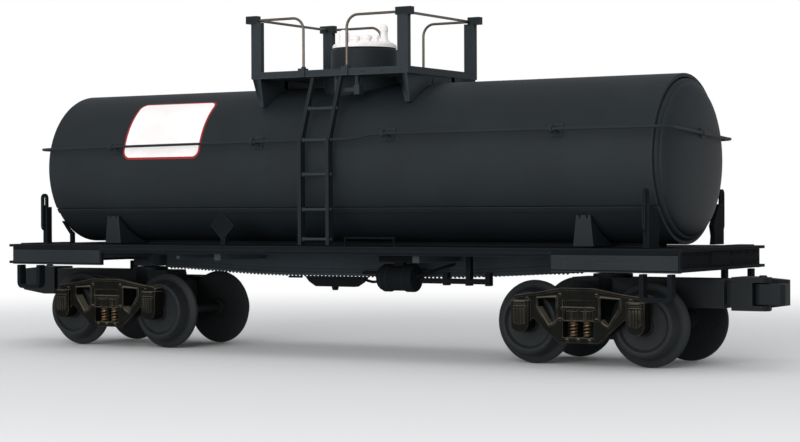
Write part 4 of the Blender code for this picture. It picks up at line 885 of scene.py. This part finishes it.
class TANKCAR_OT_dome(bpy.types.Operator):
    """Builds the dome, flared onto the tank, and its white cover with the valves"""

    bl_idname = "tankcar.dome"
    bl_label = "Dome and Cover"

    def execute(self, context):
        radius, top, edge, seat = DOME_RADIUS, DOME_TOP_Z, DOME_EDGE, DOME_SEAT
        outer, inner, bottom, rise = COLLAR
        collar, foot = WALK_TOP_Z + rise, TANK_TOP_Z - DOME_FLARE
        profile = [(0, top)]
        profile += [(radius - edge + u, top - edge + v) for u, v in arc((0, 0), edge, 90, 0, DOME_EDGE_STEPS)]
        profile += [
            (radius, collar), (outer - THIN_EDGE, collar), (outer, collar - THIN_EDGE), (outer, WALK_TOP_Z),
            (inner, WALK_TOP_Z), (inner, bottom), (seat, bottom), (seat, TANK_TOP_Z),
            (seat + DOME_FLARE / 3, TANK_TOP_Z - DOME_FLARE / 2), (seat + DOME_FLARE, foot), (0, foot)]
        dome = lathe(profile, "Z", (0.0, 0.0), DOME_STEPS)
        # The flare follows the tank's back down on both sides
        for corner in dome.verts:
            if corner.co.z < TANK_TOP_Z + DOME_FLARE / 4:
                corner.co.z += tank_height(corner.co.y) - TANK_TOP_Z + DOME_FLARE * 0.8
        piece("dome_drum", [dome], "tank_paint", replaces=["dome"])

        low, rim = COVER_LOW.z, COVER_RADIUS
        disc = [(rim - mm(inward), low + COVER_RISE * share) for inward, share in COVER_DISC]
        shapes = [lathe([(0, low), *disc, (0, low + COVER_RISE)], "Z", (0.0, 0.0), DOME_STEPS)]
        for x, y, line in COVER_FITTINGS:
            line = [(0, -LAP), (line[0][0], -LAP), *line]
            shapes.append(lathe([(r, COVER_FACE_Z + z) for r, z in line], "Z", (x, y), ROUND_SIDES))
        for i in range(COVER_BOLTS):
            turn = math.tau * (i + 0.5) / COVER_BOLTS
            spot = (math.cos(turn) * COVER_BOLT_RING, math.sin(turn) * COVER_BOLT_RING, COVER_FACE_Z)
            shapes.append(stud(spot, "Z", COVER_BOLT_RADIUS, COVER_BOLT_RADIUS))
        piece("dome_cover_fittings", shapes, "white_paint", replaces=["dome_cover"])
        return {"FINISHED"}


class TANKCAR_OT_walkway(bpy.types.Operator):
    """Builds the walkway with its posts, treads, wire sockets and the clamp below, and the wires"""

    bl_idname = "tankcar.walkway"
    bl_label = "Walkway"

    def execute(self, context):
        half_x, half_y = WALK_HALF
        shapes = [block(*CLAMP, EDGE)]
        for x in WALK_STUDS_X:
            for side in (-1, 1):
                shapes.append(stud((x, side * half_y, WALK_TOP_Z - WALK_STUD_DROP), "Y", FINE_STUD, side * FINE_STUD))
        count = round(2 * half_x / TREAD_PITCH)
        for i in range(TREADS_OUT, count - TREADS_OUT + 1):
            x = half_x * (2 * i / count - 1)
            spans = [(-half_y + TREAD_MARGIN, half_y - TREAD_MARGIN)]
            if abs(x) < DOME_SEAT + TREAD_PITCH:
                inner = math.sqrt((DOME_SEAT + TREAD_PITCH) ** 2 - x ** 2) + TREAD_WIDTH
                spans = [(-half_y + TREAD_MARGIN, -inner), (inner, half_y - TREAD_MARGIN)]
            for span in spans:
                shapes.append(block(around(x, TREAD_WIDTH), span, (WALK_TOP_Z - LAP, WALK_TOP_Z + TREAD_RISE)))
        for number in range(1, WIRES + 1):
            name = "walkway_wire_" + str(number)
            route = self.wire_route(name)
            piece(name + "_bar", [rod(route, WIRE_RADIUS)], "rail_metal", replaces=[name])
            if number <= BENT_WIRES:
                x, y, z = route[-1]
                shapes.append(drum(SOCKET_RADIUS, z, z + SOCKET_RISE, "Z", (x, y), WIRE_SIDES, THIN_EDGE))
        for x in (BEARER_X, (-BEARER_X[1], -BEARER_X[0])):
            shapes.append(block(x, *BEARER_YZ, THIN_EDGE))
        whole = moulded("walkway", WALK_EDGE, self.is_cap_corner, CAP_CUT)
        low, high = GUSSET_Z
        for corner in whole.verts:
            if corner.co.z < high and abs(corner.co.x) > GUSSET_X - GUSSET_HALF:
                share = 1 - GUSSET_TAPER * (high - corner.co.z) / (high - low)
                side = math.copysign(GUSSET_X, corner.co.x)
                corner.co.x = side + (corner.co.x - side) * share
        # The walkway finish is the tank's paint lightened as painted fill light for the shade under the platform
        piece("walkway_shape", [whole, *shapes], "tank_paint", replaces=["walkway"], finish="walkway")
        return {"FINISHED"}

    def is_cap_corner(self, edge):
        """Whether an edge is an upright one of a post's cap."""
        first, second = (corner.co for corner in edge.verts)
        upright = abs(first.z - second.z) > CAP_CUT
        return upright and min(first.z, second.z) > WALK_HIGH.z - CAP_HEIGHT

    def wire_route(self, name):
        """A wire's middle line, which goes on a little into what holds its ends."""
        low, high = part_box(name)
        y, z = (low.y + high.y) / 2, high.z - WIRE_RADIUS
        if high.z - low.z < WIRE_BEND:
            x = (low.x + high.x) / 2
            return [(x, low.y - WIRE_ENTRY, z), (x, high.y + WIRE_ENTRY, z)]
        side = 1 if high.x + low.x > 0 else -1
        inner, outer = (low.x, high.x) if side > 0 else (-high.x, -low.x)
        foot, cap = inner + WIRE_RADIUS, outer + WIRE_ENTRY
        bend = arc((foot + WIRE_BEND, z - WIRE_BEND), WIRE_BEND, 90, 180, BEND_STEPS)
        flat = [(cap, z), *bend, (foot, low.z - WIRE_ENTRY)]
        return [(side * u, y, v) for u, v in flat]


class TANKCAR_OT_rails(bpy.types.Operator):
    """Builds the ladders and the handrail with its stanchions"""

    bl_idname = "tankcar.rails"
    bl_label = "Ladders and Handrail"

    def execute(self, context):
        for name, matrix in (("ladder_near", Matrix()), ("ladder_far", SPIN)):
            stringers, rungs = (copies(shapes, matrix) for shapes in self.ladder())
            piece(name + "_stringers", stringers, "frame_plastic", replaces=[name], finish="ladder")
            piece(name + "_rungs", rungs, "frame_plastic", finish="rung")
        for name, matrix in (("handrail_right", Matrix()), ("handrail_left", SPIN)):
            bar = copies(self.handrail(), matrix)
            piece(name + "_bar", bar, "frame_plastic", replaces=[name], finish="tank_paint")
        return {"FINISHED"}

    def handrail(self):
        """The right half of the rail, with its stanchions and the clamp on the tank's head."""
        shapes = [rod(self.route(), WIRE_RADIUS)]
        for x in STANCHIONS_X:
            shapes += self.stanchion(x, -1, RAIL_NEAR_Z) + self.stanchion(x, 1, self.far_height(x))
        middle = (RAIL_NEAR_Z + RAIL_FAR_Z) / 2
        size, half, lean = HEAD_CLAMP
        face = HEAD_CROWN_X - SEAT_GAP
        shapes.append(drum(STANCHION_RADIUS, face, RAIL_END_X, "X", (0.0, middle), WIRE_SIDES))
        shapes.append(rod([(RAIL_END_X, -half, middle + lean), (RAIL_END_X, half, middle - lean)], SLEEVE_RADIUS))
        limits = around(0.0, size), around(middle, size)
        shapes.append(block((face - SEAT_GAP, HEAD_CROWN_X + SEAT_GAP), *limits, EDGE))
        return shapes

    def ladder(self):
        """The near ladder's stringers, upright below and leaning in above, and its rungs with their collars."""
        foot, bend, top = LADDER_Z
        outer, inner = LADDER_Y
        deep, slim = LADDER_DEPTHS
        outline = ((-outer - deep, foot), (-outer + deep, foot), (-outer + deep, bend), (-inner + slim, top),
                   (-inner - slim, top), (-outer - slim, bend + slim), (-outer - deep, bend))
        stringers, rungs = [], []
        for side in (-1, 1):
            middle = LADDER_X + side * LADDER_HALF_WIDTH
            stringers.append(prism(outline, *around(middle, LADDER_WIDTH), "X", THIN_EDGE))
        for z in RUNGS_Z:
            lean = max(0.0, (z - bend) / (top - bend))
            y = -outer + (outer - inner) * lean
            inset, width = LADDER_WIDTH * RUNG_INSET, LADDER_WIDTH * RUNG_COLLAR_WIDTH
            ends = around(LADDER_X, 2 * (LADDER_HALF_WIDTH + inset))
            rungs.append(drum(RUNG_RADIUS, *ends, "X", (y, z), WIRE_SIDES, THIN_EDGE))
            for side in (-1, 1):
                ends = around(LADDER_X + side * (LADDER_HALF_WIDTH - inset), width)
                rungs.append(drum(RUNG_COLLAR_RADIUS, *ends, "X", (y, z), WIRE_SIDES, THIN_EDGE))
        return stringers, rungs

    def far_height(self, x):
        """The rail's height on the far side, where it climbs to the ladder."""
        start, end = RAIL_STEP_X[0], RAIL_END_X - RAIL_CORNERS[1]
        return RAIL_LADDER_Z + (RAIL_FAR_Z - RAIL_LADDER_Z) * (x - start) / (end - start)

    def route(self):
        """The rail's middle line from one ladder round the tank's right end to the other."""
        near, far = RAIL_CORNERS
        near_centre, far_centre = (RAIL_END_X - near, near - RAIL_Y), (RAIL_END_X - far, RAIL_Y - far)
        start, low_x, high_x = RAIL_STEP_X
        steps, near_steps, far_steps = RAIL_STEPS
        points = [(start, -RAIL_Y, RAIL_LADDER_Z)]
        for i in range(steps + 1):
            share = i / steps
            climb = (RAIL_NEAR_Z - RAIL_LADDER_Z) * (share * share * (3 - 2 * share))
            points.append((low_x + (high_x - low_x) * share, -RAIL_Y, RAIL_LADDER_Z + climb))
        points += [(x, y, RAIL_NEAR_Z) for x, y in arc(near_centre, near, -90, 0, near_steps)]
        points += [(x, y, RAIL_FAR_Z) for x, y in arc(far_centre, far, 0, 90, far_steps)]
        points.append((RAIL_FAR_STEP_X, RAIL_Y, self.far_height(RAIL_FAR_STEP_X)))
        return points

    def stanchion(self, x, side, z):
        """A post from a plate on the tank to an eye round the rail."""
        skin = tank_half_width(z)
        tilt = side * math.asin((z - TANK_AXIS_Z) / TANK_RADIUS)
        seat = Matrix.Translation((x, side * skin, z)) @ Matrix.Rotation(tilt, 4, "X")
        (x0, x1), (y0, y1), (z0, z1) = BASE_PLATE
        plate = [block((x0, x1), sorted((side * y0, side * y1)), (z0, z1), EDGE)]
        plate += [stud((u, side * y1, v), "Y", FINE_STUD, side * FINE_STUD) for u, v in BASE_BOLTS]
        shapes = [placed(shape, seat) for shape in plate]
        shapes.append(drum(STANCHION_RADIUS, side * skin, side * RAIL_Y, "Y", (x, z), WIRE_SIDES))
        for radius, half, sides in ((SLEEVE_RADIUS, SLEEVE_HALF, WIRE_SIDES), (EYE_RADIUS, EYE_HALF, EYE_SIDES)):
            shapes.append(drum(radius, x - half, x + half, "X", (side * RAIL_Y, z), sides, THIN_EDGE))
        return shapes


class TANKCAR_OT_deck(bpy.types.Operator):
    """Dresses the deck with its rivets, panel strips and end plates"""

    bl_idname = "tankcar.deck"
    bl_label = "Deck"

    def execute(self, context):
        self.side_plates()
        shapes = []
        web_x = DECK_HIGH.x - END_WEB_INSET
        for y in END_RIVETS_Y:
            shapes += [stud((web_x, y, z), "X", FINE_STUD, FINE_STUD * 0.8) for z in END_RIVETS_Z]
        shapes.append(block((web_x - LAP, web_x + END_PLATE_RISE), *END_PLATE, THIN_EDGE))
        shapes.append(block(*END_STEP, (DECK_TOP_Z - LAP, DECK_TOP_Z + END_STEP_RISE), EDGE))
        (x0, x1), y, z = GRAB_BAR
        foot = DECK_TOP_Z - LAP
        route = ((x0, foot), (x0, z - EDGE), (x0 + EDGE, z), (x1 - EDGE, z), (x1, z - EDGE), (x1, foot))
        shapes.append(rod([(x, y, height) for x, height in route], GRAB_RADIUS))
        # The dark pad under the belly is painted shade in the gap between deck and tank
        moulded_piece("deck", DECK_EDGE, [block(*SHADE_PAD), *copies(shapes, Matrix(), SPIN)])
        return {"FINISHED"}

    def side_plates(self):
        """The plates on the deck's sides, with their rivets and strips."""
        start, ends, plate_z, proud = SIDE_PLATE
        face = -DECK_HALF_Y - proud
        depth = (face, LAP - DECK_HALF_Y)
        rivet_x, rivet_z = PANEL_RIVETS
        shapes = [stud((x, face, z), "Y", FINE_STUD, -FINE_STUD * 0.7) for x in rivet_x for z in rivet_z]
        strip_x, strip_z = PANEL_STRIP
        shapes.append(block(strip_x, (face - EDGE, face + LAP), strip_z, THIN_EDGE))
        shapes = copies(shapes, Matrix(), SPIN)
        for end, flip in zip(ends, (1, -1)):
            plates = [block((start, end), depth, height, THIN_EDGE) for height in (plate_z, SIDE_FOOT)]
            shapes += copies(plates, Matrix.Diagonal((1, flip, 1, 1)), Matrix.Diagonal((-1, -flip, 1, 1)))
        piece("deck_side_plates", shapes, "frame_plastic", finish="side_plate")


class TANKCAR_OT_sill(bpy.types.Operator):
    """Dresses the centre sill with its rows of rivets, its beads and the cross bar"""

    bl_idname = "tankcar.sill"
    bl_label = "Centre Sill"

    def execute(self, context):
        shapes = []
        count = int(SILL_REACH / SILL_PITCH)
        for i in range(-count, count + 1):
            x = i * SILL_PITCH
            z = float(interp(abs(x), *zip(*SILL_EDGE_LINE)))
            for side in (-1, 1):
                shapes.append(stud((x, side * SILL_RIVET_Y, z), "Z", SILL_RIVET, -SILL_RIVET))
        rise, bead = SILL_BEAD
        line = [(x, z + rise) for x, z in SILL_EDGE_LINE]
        line = [(-x, z) for x, z in reversed(line)] + line[1:]
        for side in (-1, 1):
            shapes.append(rod([(x, side * SILL_WEB_Y, z) for x, z in line], bead, FINE_SIDES))
        shapes.append(block(*CROSS_BAR, THIN_EDGE))
        # The sill finish is the frame's colour lightened as painted fill light for the shade under the deck
        moulded_piece("centre_sill", FRAME_EDGE, shapes, finish="sill")
        return {"FINISHED"}


class TANKCAR_OT_brake(bpy.types.Operator):
    """Builds the brake reservoir with its bands and pipes, and dresses the valve and the rod"""

    bl_idname = "tankcar.brake"
    bl_label = "Brake Gear"

    def execute(self, context):
        y, z = RESERVOIR_PLACE
        radius, foot, top = RESERVOIR_DRAIN
        shapes = [lathe(RESERVOIR_LINE, "X", (y, z), RESERVOIR_STEPS)]
        shapes += [block(*limits, EDGE) for limits in (RESERVOIR_HANGER, RESERVOIR_CRADLE)]
        shapes += [drum(radius, z - foot, z - top, "Z", (x, y), WIRE_SIDES, THIN_EDGE) for x in RESERVOIR_DRAINS_X]
        shapes += [rod(route, PIPE_RADIUS) for route in PIPES]
        piece("brake_reservoir_tank", shapes, "frame_plastic", replaces=["brake_reservoir"])
        moulded_piece("brake_valve", EDGE, [block(*VALVE_PLATE, THIN_EDGE)])
        moulded_piece("brake_rod", EDGE)
        return {"FINISHED"}


class TANKCAR_OT_trucks(bpy.types.Operator):
    """Builds the wheelsets and dresses the side frames, springs and truck frames"""

    bl_idname = "tankcar.trucks"
    bl_label = "Trucks"

    def execute(self, context):
        line = [(radius, -y) for radius, y in reversed(WHEEL_LINE)] + list(WHEEL_LINE)
        for end, turn in (("right", Matrix()), ("left", SPIN)):
            side = 1 if end == "right" else -1
            truck = Matrix.Translation((side * TRUCK_X, 0, 0)) @ turn
            for label in ("outer", "inner"):
                name = "wheelset_" + end + "_" + label
                low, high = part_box(name)
                middle = (low + high) / 2
                wheels = lathe(line, "Y", (middle.x, middle.z), WHEEL_STEPS)
                piece(name + "_turned", [wheels], "wheel_steel", "axle_" + end + "_" + label, [name])
            for number, spin in (("1", Matrix()), ("2", SPIN)):
                place = truck @ spin
                node = "sideframe_" + end + "_" + number
                moulded_piece(node, FRAME_EDGE, copies(self.frame_detail(), place))
                springs = copies(self.springs(), place)
                piece("springs_" + end + "_" + number, springs, "sideframe_metal", "truck_" + end, finish="spring")
            moulded_piece("truck_frame_" + end, TRUCK_EDGE)
        return {"FINISHED"}

    def frame_detail(self):
        """Window rims, ledges, ribs, hinged lids and bolts of a side frame."""
        face = -FRAME_FACE_Y
        shapes = [block(*LEDGE, THIN_EDGE)]
        for side in (-1, 1):
            line = [(side * x, face, z) for x, z in WINDOW_LINE]
            shapes.append(rod(line + line[:1], WINDOW_RIM, FINE_SIDES))
        width, y0, y1, z0, z1 = RIB
        shapes += [block(around(x, width), (y0, y1), (z0, z1), THIN_EDGE) for x in RIBS_X]
        width, proud, z0, z1 = LID_RIB
        lid_y = (-JOURNAL_FACE_Y - proud, -JOURNAL_FACE_Y + LAP)
        (x0, x1), hinge_y, hinge_z = LID_HINGE
        for side in (-1, 1):
            middle = side * AXLE_X
            shapes += [block(around(middle + x, width), lid_y, (z0, z1), THIN_EDGE) for x in LID_RIBS_X]
            shapes.append(block((middle + x0, middle + x1), hinge_y, hinge_z, THIN_EDGE))
            shapes += [stud((middle + x, face, z), "Y", FRAME_BOLT, -FRAME_BOLT) for x, z in LID_BOLTS]
        shapes += [stud((x, face, z), "Y", FRAME_BOLT, -FRAME_BOLT) for x, z in FRAME_BOLTS]
        return shapes

    def springs(self):
        """The nest of coil springs in a side frame's pocket."""
        low, high = SPRING_Z
        shapes = []
        for x, y, coil, wire, turns in SPRINGS:
            route = []
            total = turns * SPRING_STEPS
            for i in range(total + 1):
                turn = math.tau * i / SPRING_STEPS
                z = low + (high - low) * i / total
                route.append((x + coil * math.cos(turn), y + coil * math.sin(turn), z))
            shapes.append(rod(route, wire, FINE_SIDES))
        return shapes


class TANKCAR_OT_bare_panel(bpy.types.Operator):
    """Builds the bare panel with its thin border on the tank's side"""

    bl_idname = "tankcar.bare_panel"
    bl_label = "Bare Panel"

    def execute(self, context):
        border, field = PANEL_RISES
        piece("panel_border", [self.sheet(0.0, border)], "white_paint", finish="border")
        piece("panel_field", [self.sheet(PANEL_BORDER, field)], "white_paint")
        return {"FINISHED"}

    def sheet(self, inset, rise):
        """A thin sheet with round corners, bent onto the tank."""
        x0, x1 = PANEL_X[0] + inset, PANEL_X[1] - inset
        span = math.radians(PANEL_ANGLES[1] - PANEL_ANGLES[0]) * TANK_RADIUS - 2 * inset
        corner = PANEL_CORNER - inset
        start = math.radians(PANEL_ANGLES[0]) + inset / TANK_RADIUS
        mesh = bmesh.new()
        rings = []
        for i in range(PANEL_ROWS + 1):
            place = span * (1 - math.cos(math.pi * i / PANEL_ROWS)) / 2
            short = corner - min(place, span - place)
            cut = corner - math.sqrt(max(corner ** 2 - short ** 2, 0.0)) if short > 0 else 0.0
            turn = start + place / TANK_RADIUS
            row = []
            for x, lift in ((x0 + cut, rise), (x1 - cut, rise), (x1 - cut, -rise), (x0 + cut, -rise)):
                reach = TANK_RADIUS + lift
                row.append(mesh.verts.new((x, -reach * math.cos(turn), TANK_AXIS_Z + reach * math.sin(turn))))
            rings.append(row)
        return stitched(mesh, rings)


class TANKCAR_OT_stage(bpy.types.Operator):
    """Makes the camera, the pale floor and the soft lights"""

    bl_idname = "tankcar.stage"
    bl_label = "Stage"

    def execute(self, context):
        self.make_camera(context)
        self.make_floor(context)
        self.make_lights(context)
        context.scene.view_settings.view_transform = "Standard"
        return {"FINISHED"}

    def make_camera(self, context):
        """The photograph's viewpoint."""
        stage = context.scene.tank_car_stage
        yaw, pitch, roll = stage.yaw, stage.pitch, stage.roll
        ahead = Vector((-math.sin(yaw) * math.cos(pitch), math.cos(yaw) * math.cos(pitch), math.sin(pitch)))
        level = Vector((math.cos(yaw), math.sin(yaw), 0.0))
        upright = level.cross(ahead)
        right = level * math.cos(roll) + upright * math.sin(roll)
        up = upright * math.cos(roll) - level * math.sin(roll)
        lens = bpy.data.cameras.new("camera")
        lens.lens = stage.focal
        lens.sensor_width = 36.0
        lens.clip_start = 0.01
        camera = shown("camera", lens)
        turn = Matrix((right, up, -ahead)).transposed()
        camera.matrix_world = Matrix.Translation(stage.place) @ turn.to_4x4()
        context.scene.camera = camera

    def make_floor(self, context):
        """A pale floor that fades into a white surround away from the car."""
        stage = context.scene.tank_car_stage
        disc = bmesh.new()
        bmesh.ops.create_circle(disc, cap_ends=True, segments=64, radius=stage.floor_radius)
        mesh = bpy.data.meshes.new("floor")
        disc.to_mesh(mesh)
        disc.free()
        floor = shown("floor", mesh)
        floor.location.z = -FLOOR_DROP
        finish = Finish("floor_finish")
        finish.set(base_color=FLOOR_COLOUR, roughness=0.9)
        distance = finish.node("ShaderNodeVectorMath", {"operation": "LENGTH"}, {0: finish.place()}, output=1)
        white = finish.node("ShaderNodeEmission", None, {"Color": WHITE, "Strength": 1.0})
        rays = ("Is Camera Ray", "Is Glossy Ray", "Is Transmission Ray")
        path = [finish.node("ShaderNodeLightPath", output=ray) for ray in rays]
        seen = path[0].math("ADD", path[0] + path[1], path[2], clamp=True)
        lit = Socket(finish, finish.shader.outputs[0])
        mixed = finish.node("ShaderNodeMixShader", None, {0: seen * distance.between(*FLOOR_FADE), 1: lit, 2: white})
        finish.feed(finish.tree.nodes["Material Output"].inputs["Surface"], mixed)
        mesh.materials.append(finish.material)

    def make_lights(self, context):
        """A white surround and three soft lamps."""
        world = context.scene.world or bpy.data.worlds.new("surround")
        context.scene.world = world
        world.use_nodes = True
        surround = Nodes(world.node_tree)
        surround.tree.nodes.clear()
        colour, strength = SURROUND
        dim = surround.node("ShaderNodeBackground", None, {"Color": colour, "Strength": strength})
        bright = surround.node("ShaderNodeBackground", None, {"Color": WHITE})
        seen = surround.node("ShaderNodeLightPath", output="Is Camera Ray")
        mixed = surround.node("ShaderNodeMixShader", None, {0: seen, 1: dim, 2: bright})
        surround.feed(surround.tree.nodes.new("ShaderNodeOutputWorld").inputs["Surface"], mixed)
        for name, place, size, power, colour in LAMPS:
            lamp = bpy.data.lights.new(name, "AREA")
            lamp.size = size
            lamp.energy = power
            lamp.color = colour
            held = shown(name, lamp)
            held.location = place
            held.rotation_euler = (Vector(LAMP_AIM) - Vector(place)).to_track_quat("-Z", "Y").to_euler()


class TANKCAR_PT_panel(bpy.types.Panel):
    """Lists the tank car's settings and steps."""

    bl_label = "Tank Car"
    bl_idname = "TANKCAR_PT_panel"
    bl_space_type = "VIEW_3D"
    bl_region_type = "UI"
    bl_category = "Tank Car"

    def draw(self, context):
        for group in (context.scene.tank_car_colours, context.scene.tank_car_stage):
            column = self.layout.column()
            for name in group.__annotations__:
                column.prop(group, name)
        for step in STEPS:
            self.layout.operator(step.bl_idname)


STEPS = (
    TANKCAR_OT_finishes,
    TANKCAR_OT_mouldings,
    TANKCAR_OT_tank,
    TANKCAR_OT_dome,
    TANKCAR_OT_walkway,
    TANKCAR_OT_rails,
    TANKCAR_OT_deck,
    TANKCAR_OT_sill,
    TANKCAR_OT_brake,
    TANKCAR_OT_trucks,
    TANKCAR_OT_bare_panel,
    TANKCAR_OT_stage)
GROUPS = (("tank_car_colours", TankCarColours), ("tank_car_stage", TankCarStage))


def register():
    """Adds the settings, the steps and the panel to Blender."""
    for name, group in GROUPS:
        bpy.utils.register_class(group)
        setattr(bpy.types.Scene, name, bpy.props.PointerProperty(type=group))
    for step in STEPS:
        bpy.utils.register_class(step)
    bpy.utils.register_class(TANKCAR_PT_panel)


def unregister():
    """Takes them away again."""
    bpy.utils.unregister_class(TANKCAR_PT_panel)
    for step in reversed(STEPS):
        bpy.utils.unregister_class(step)
    for name, group in reversed(GROUPS):
        delattr(bpy.types.Scene, name)
        bpy.utils.unregister_class(group)


def main():
    """Builds the dressed car."""
    register()
    for step in STEPS:
        section, name = step.bl_idname.split(".")
        getattr(getattr(bpy.ops, section), name)()


if __name__ == "__main__":
    main()
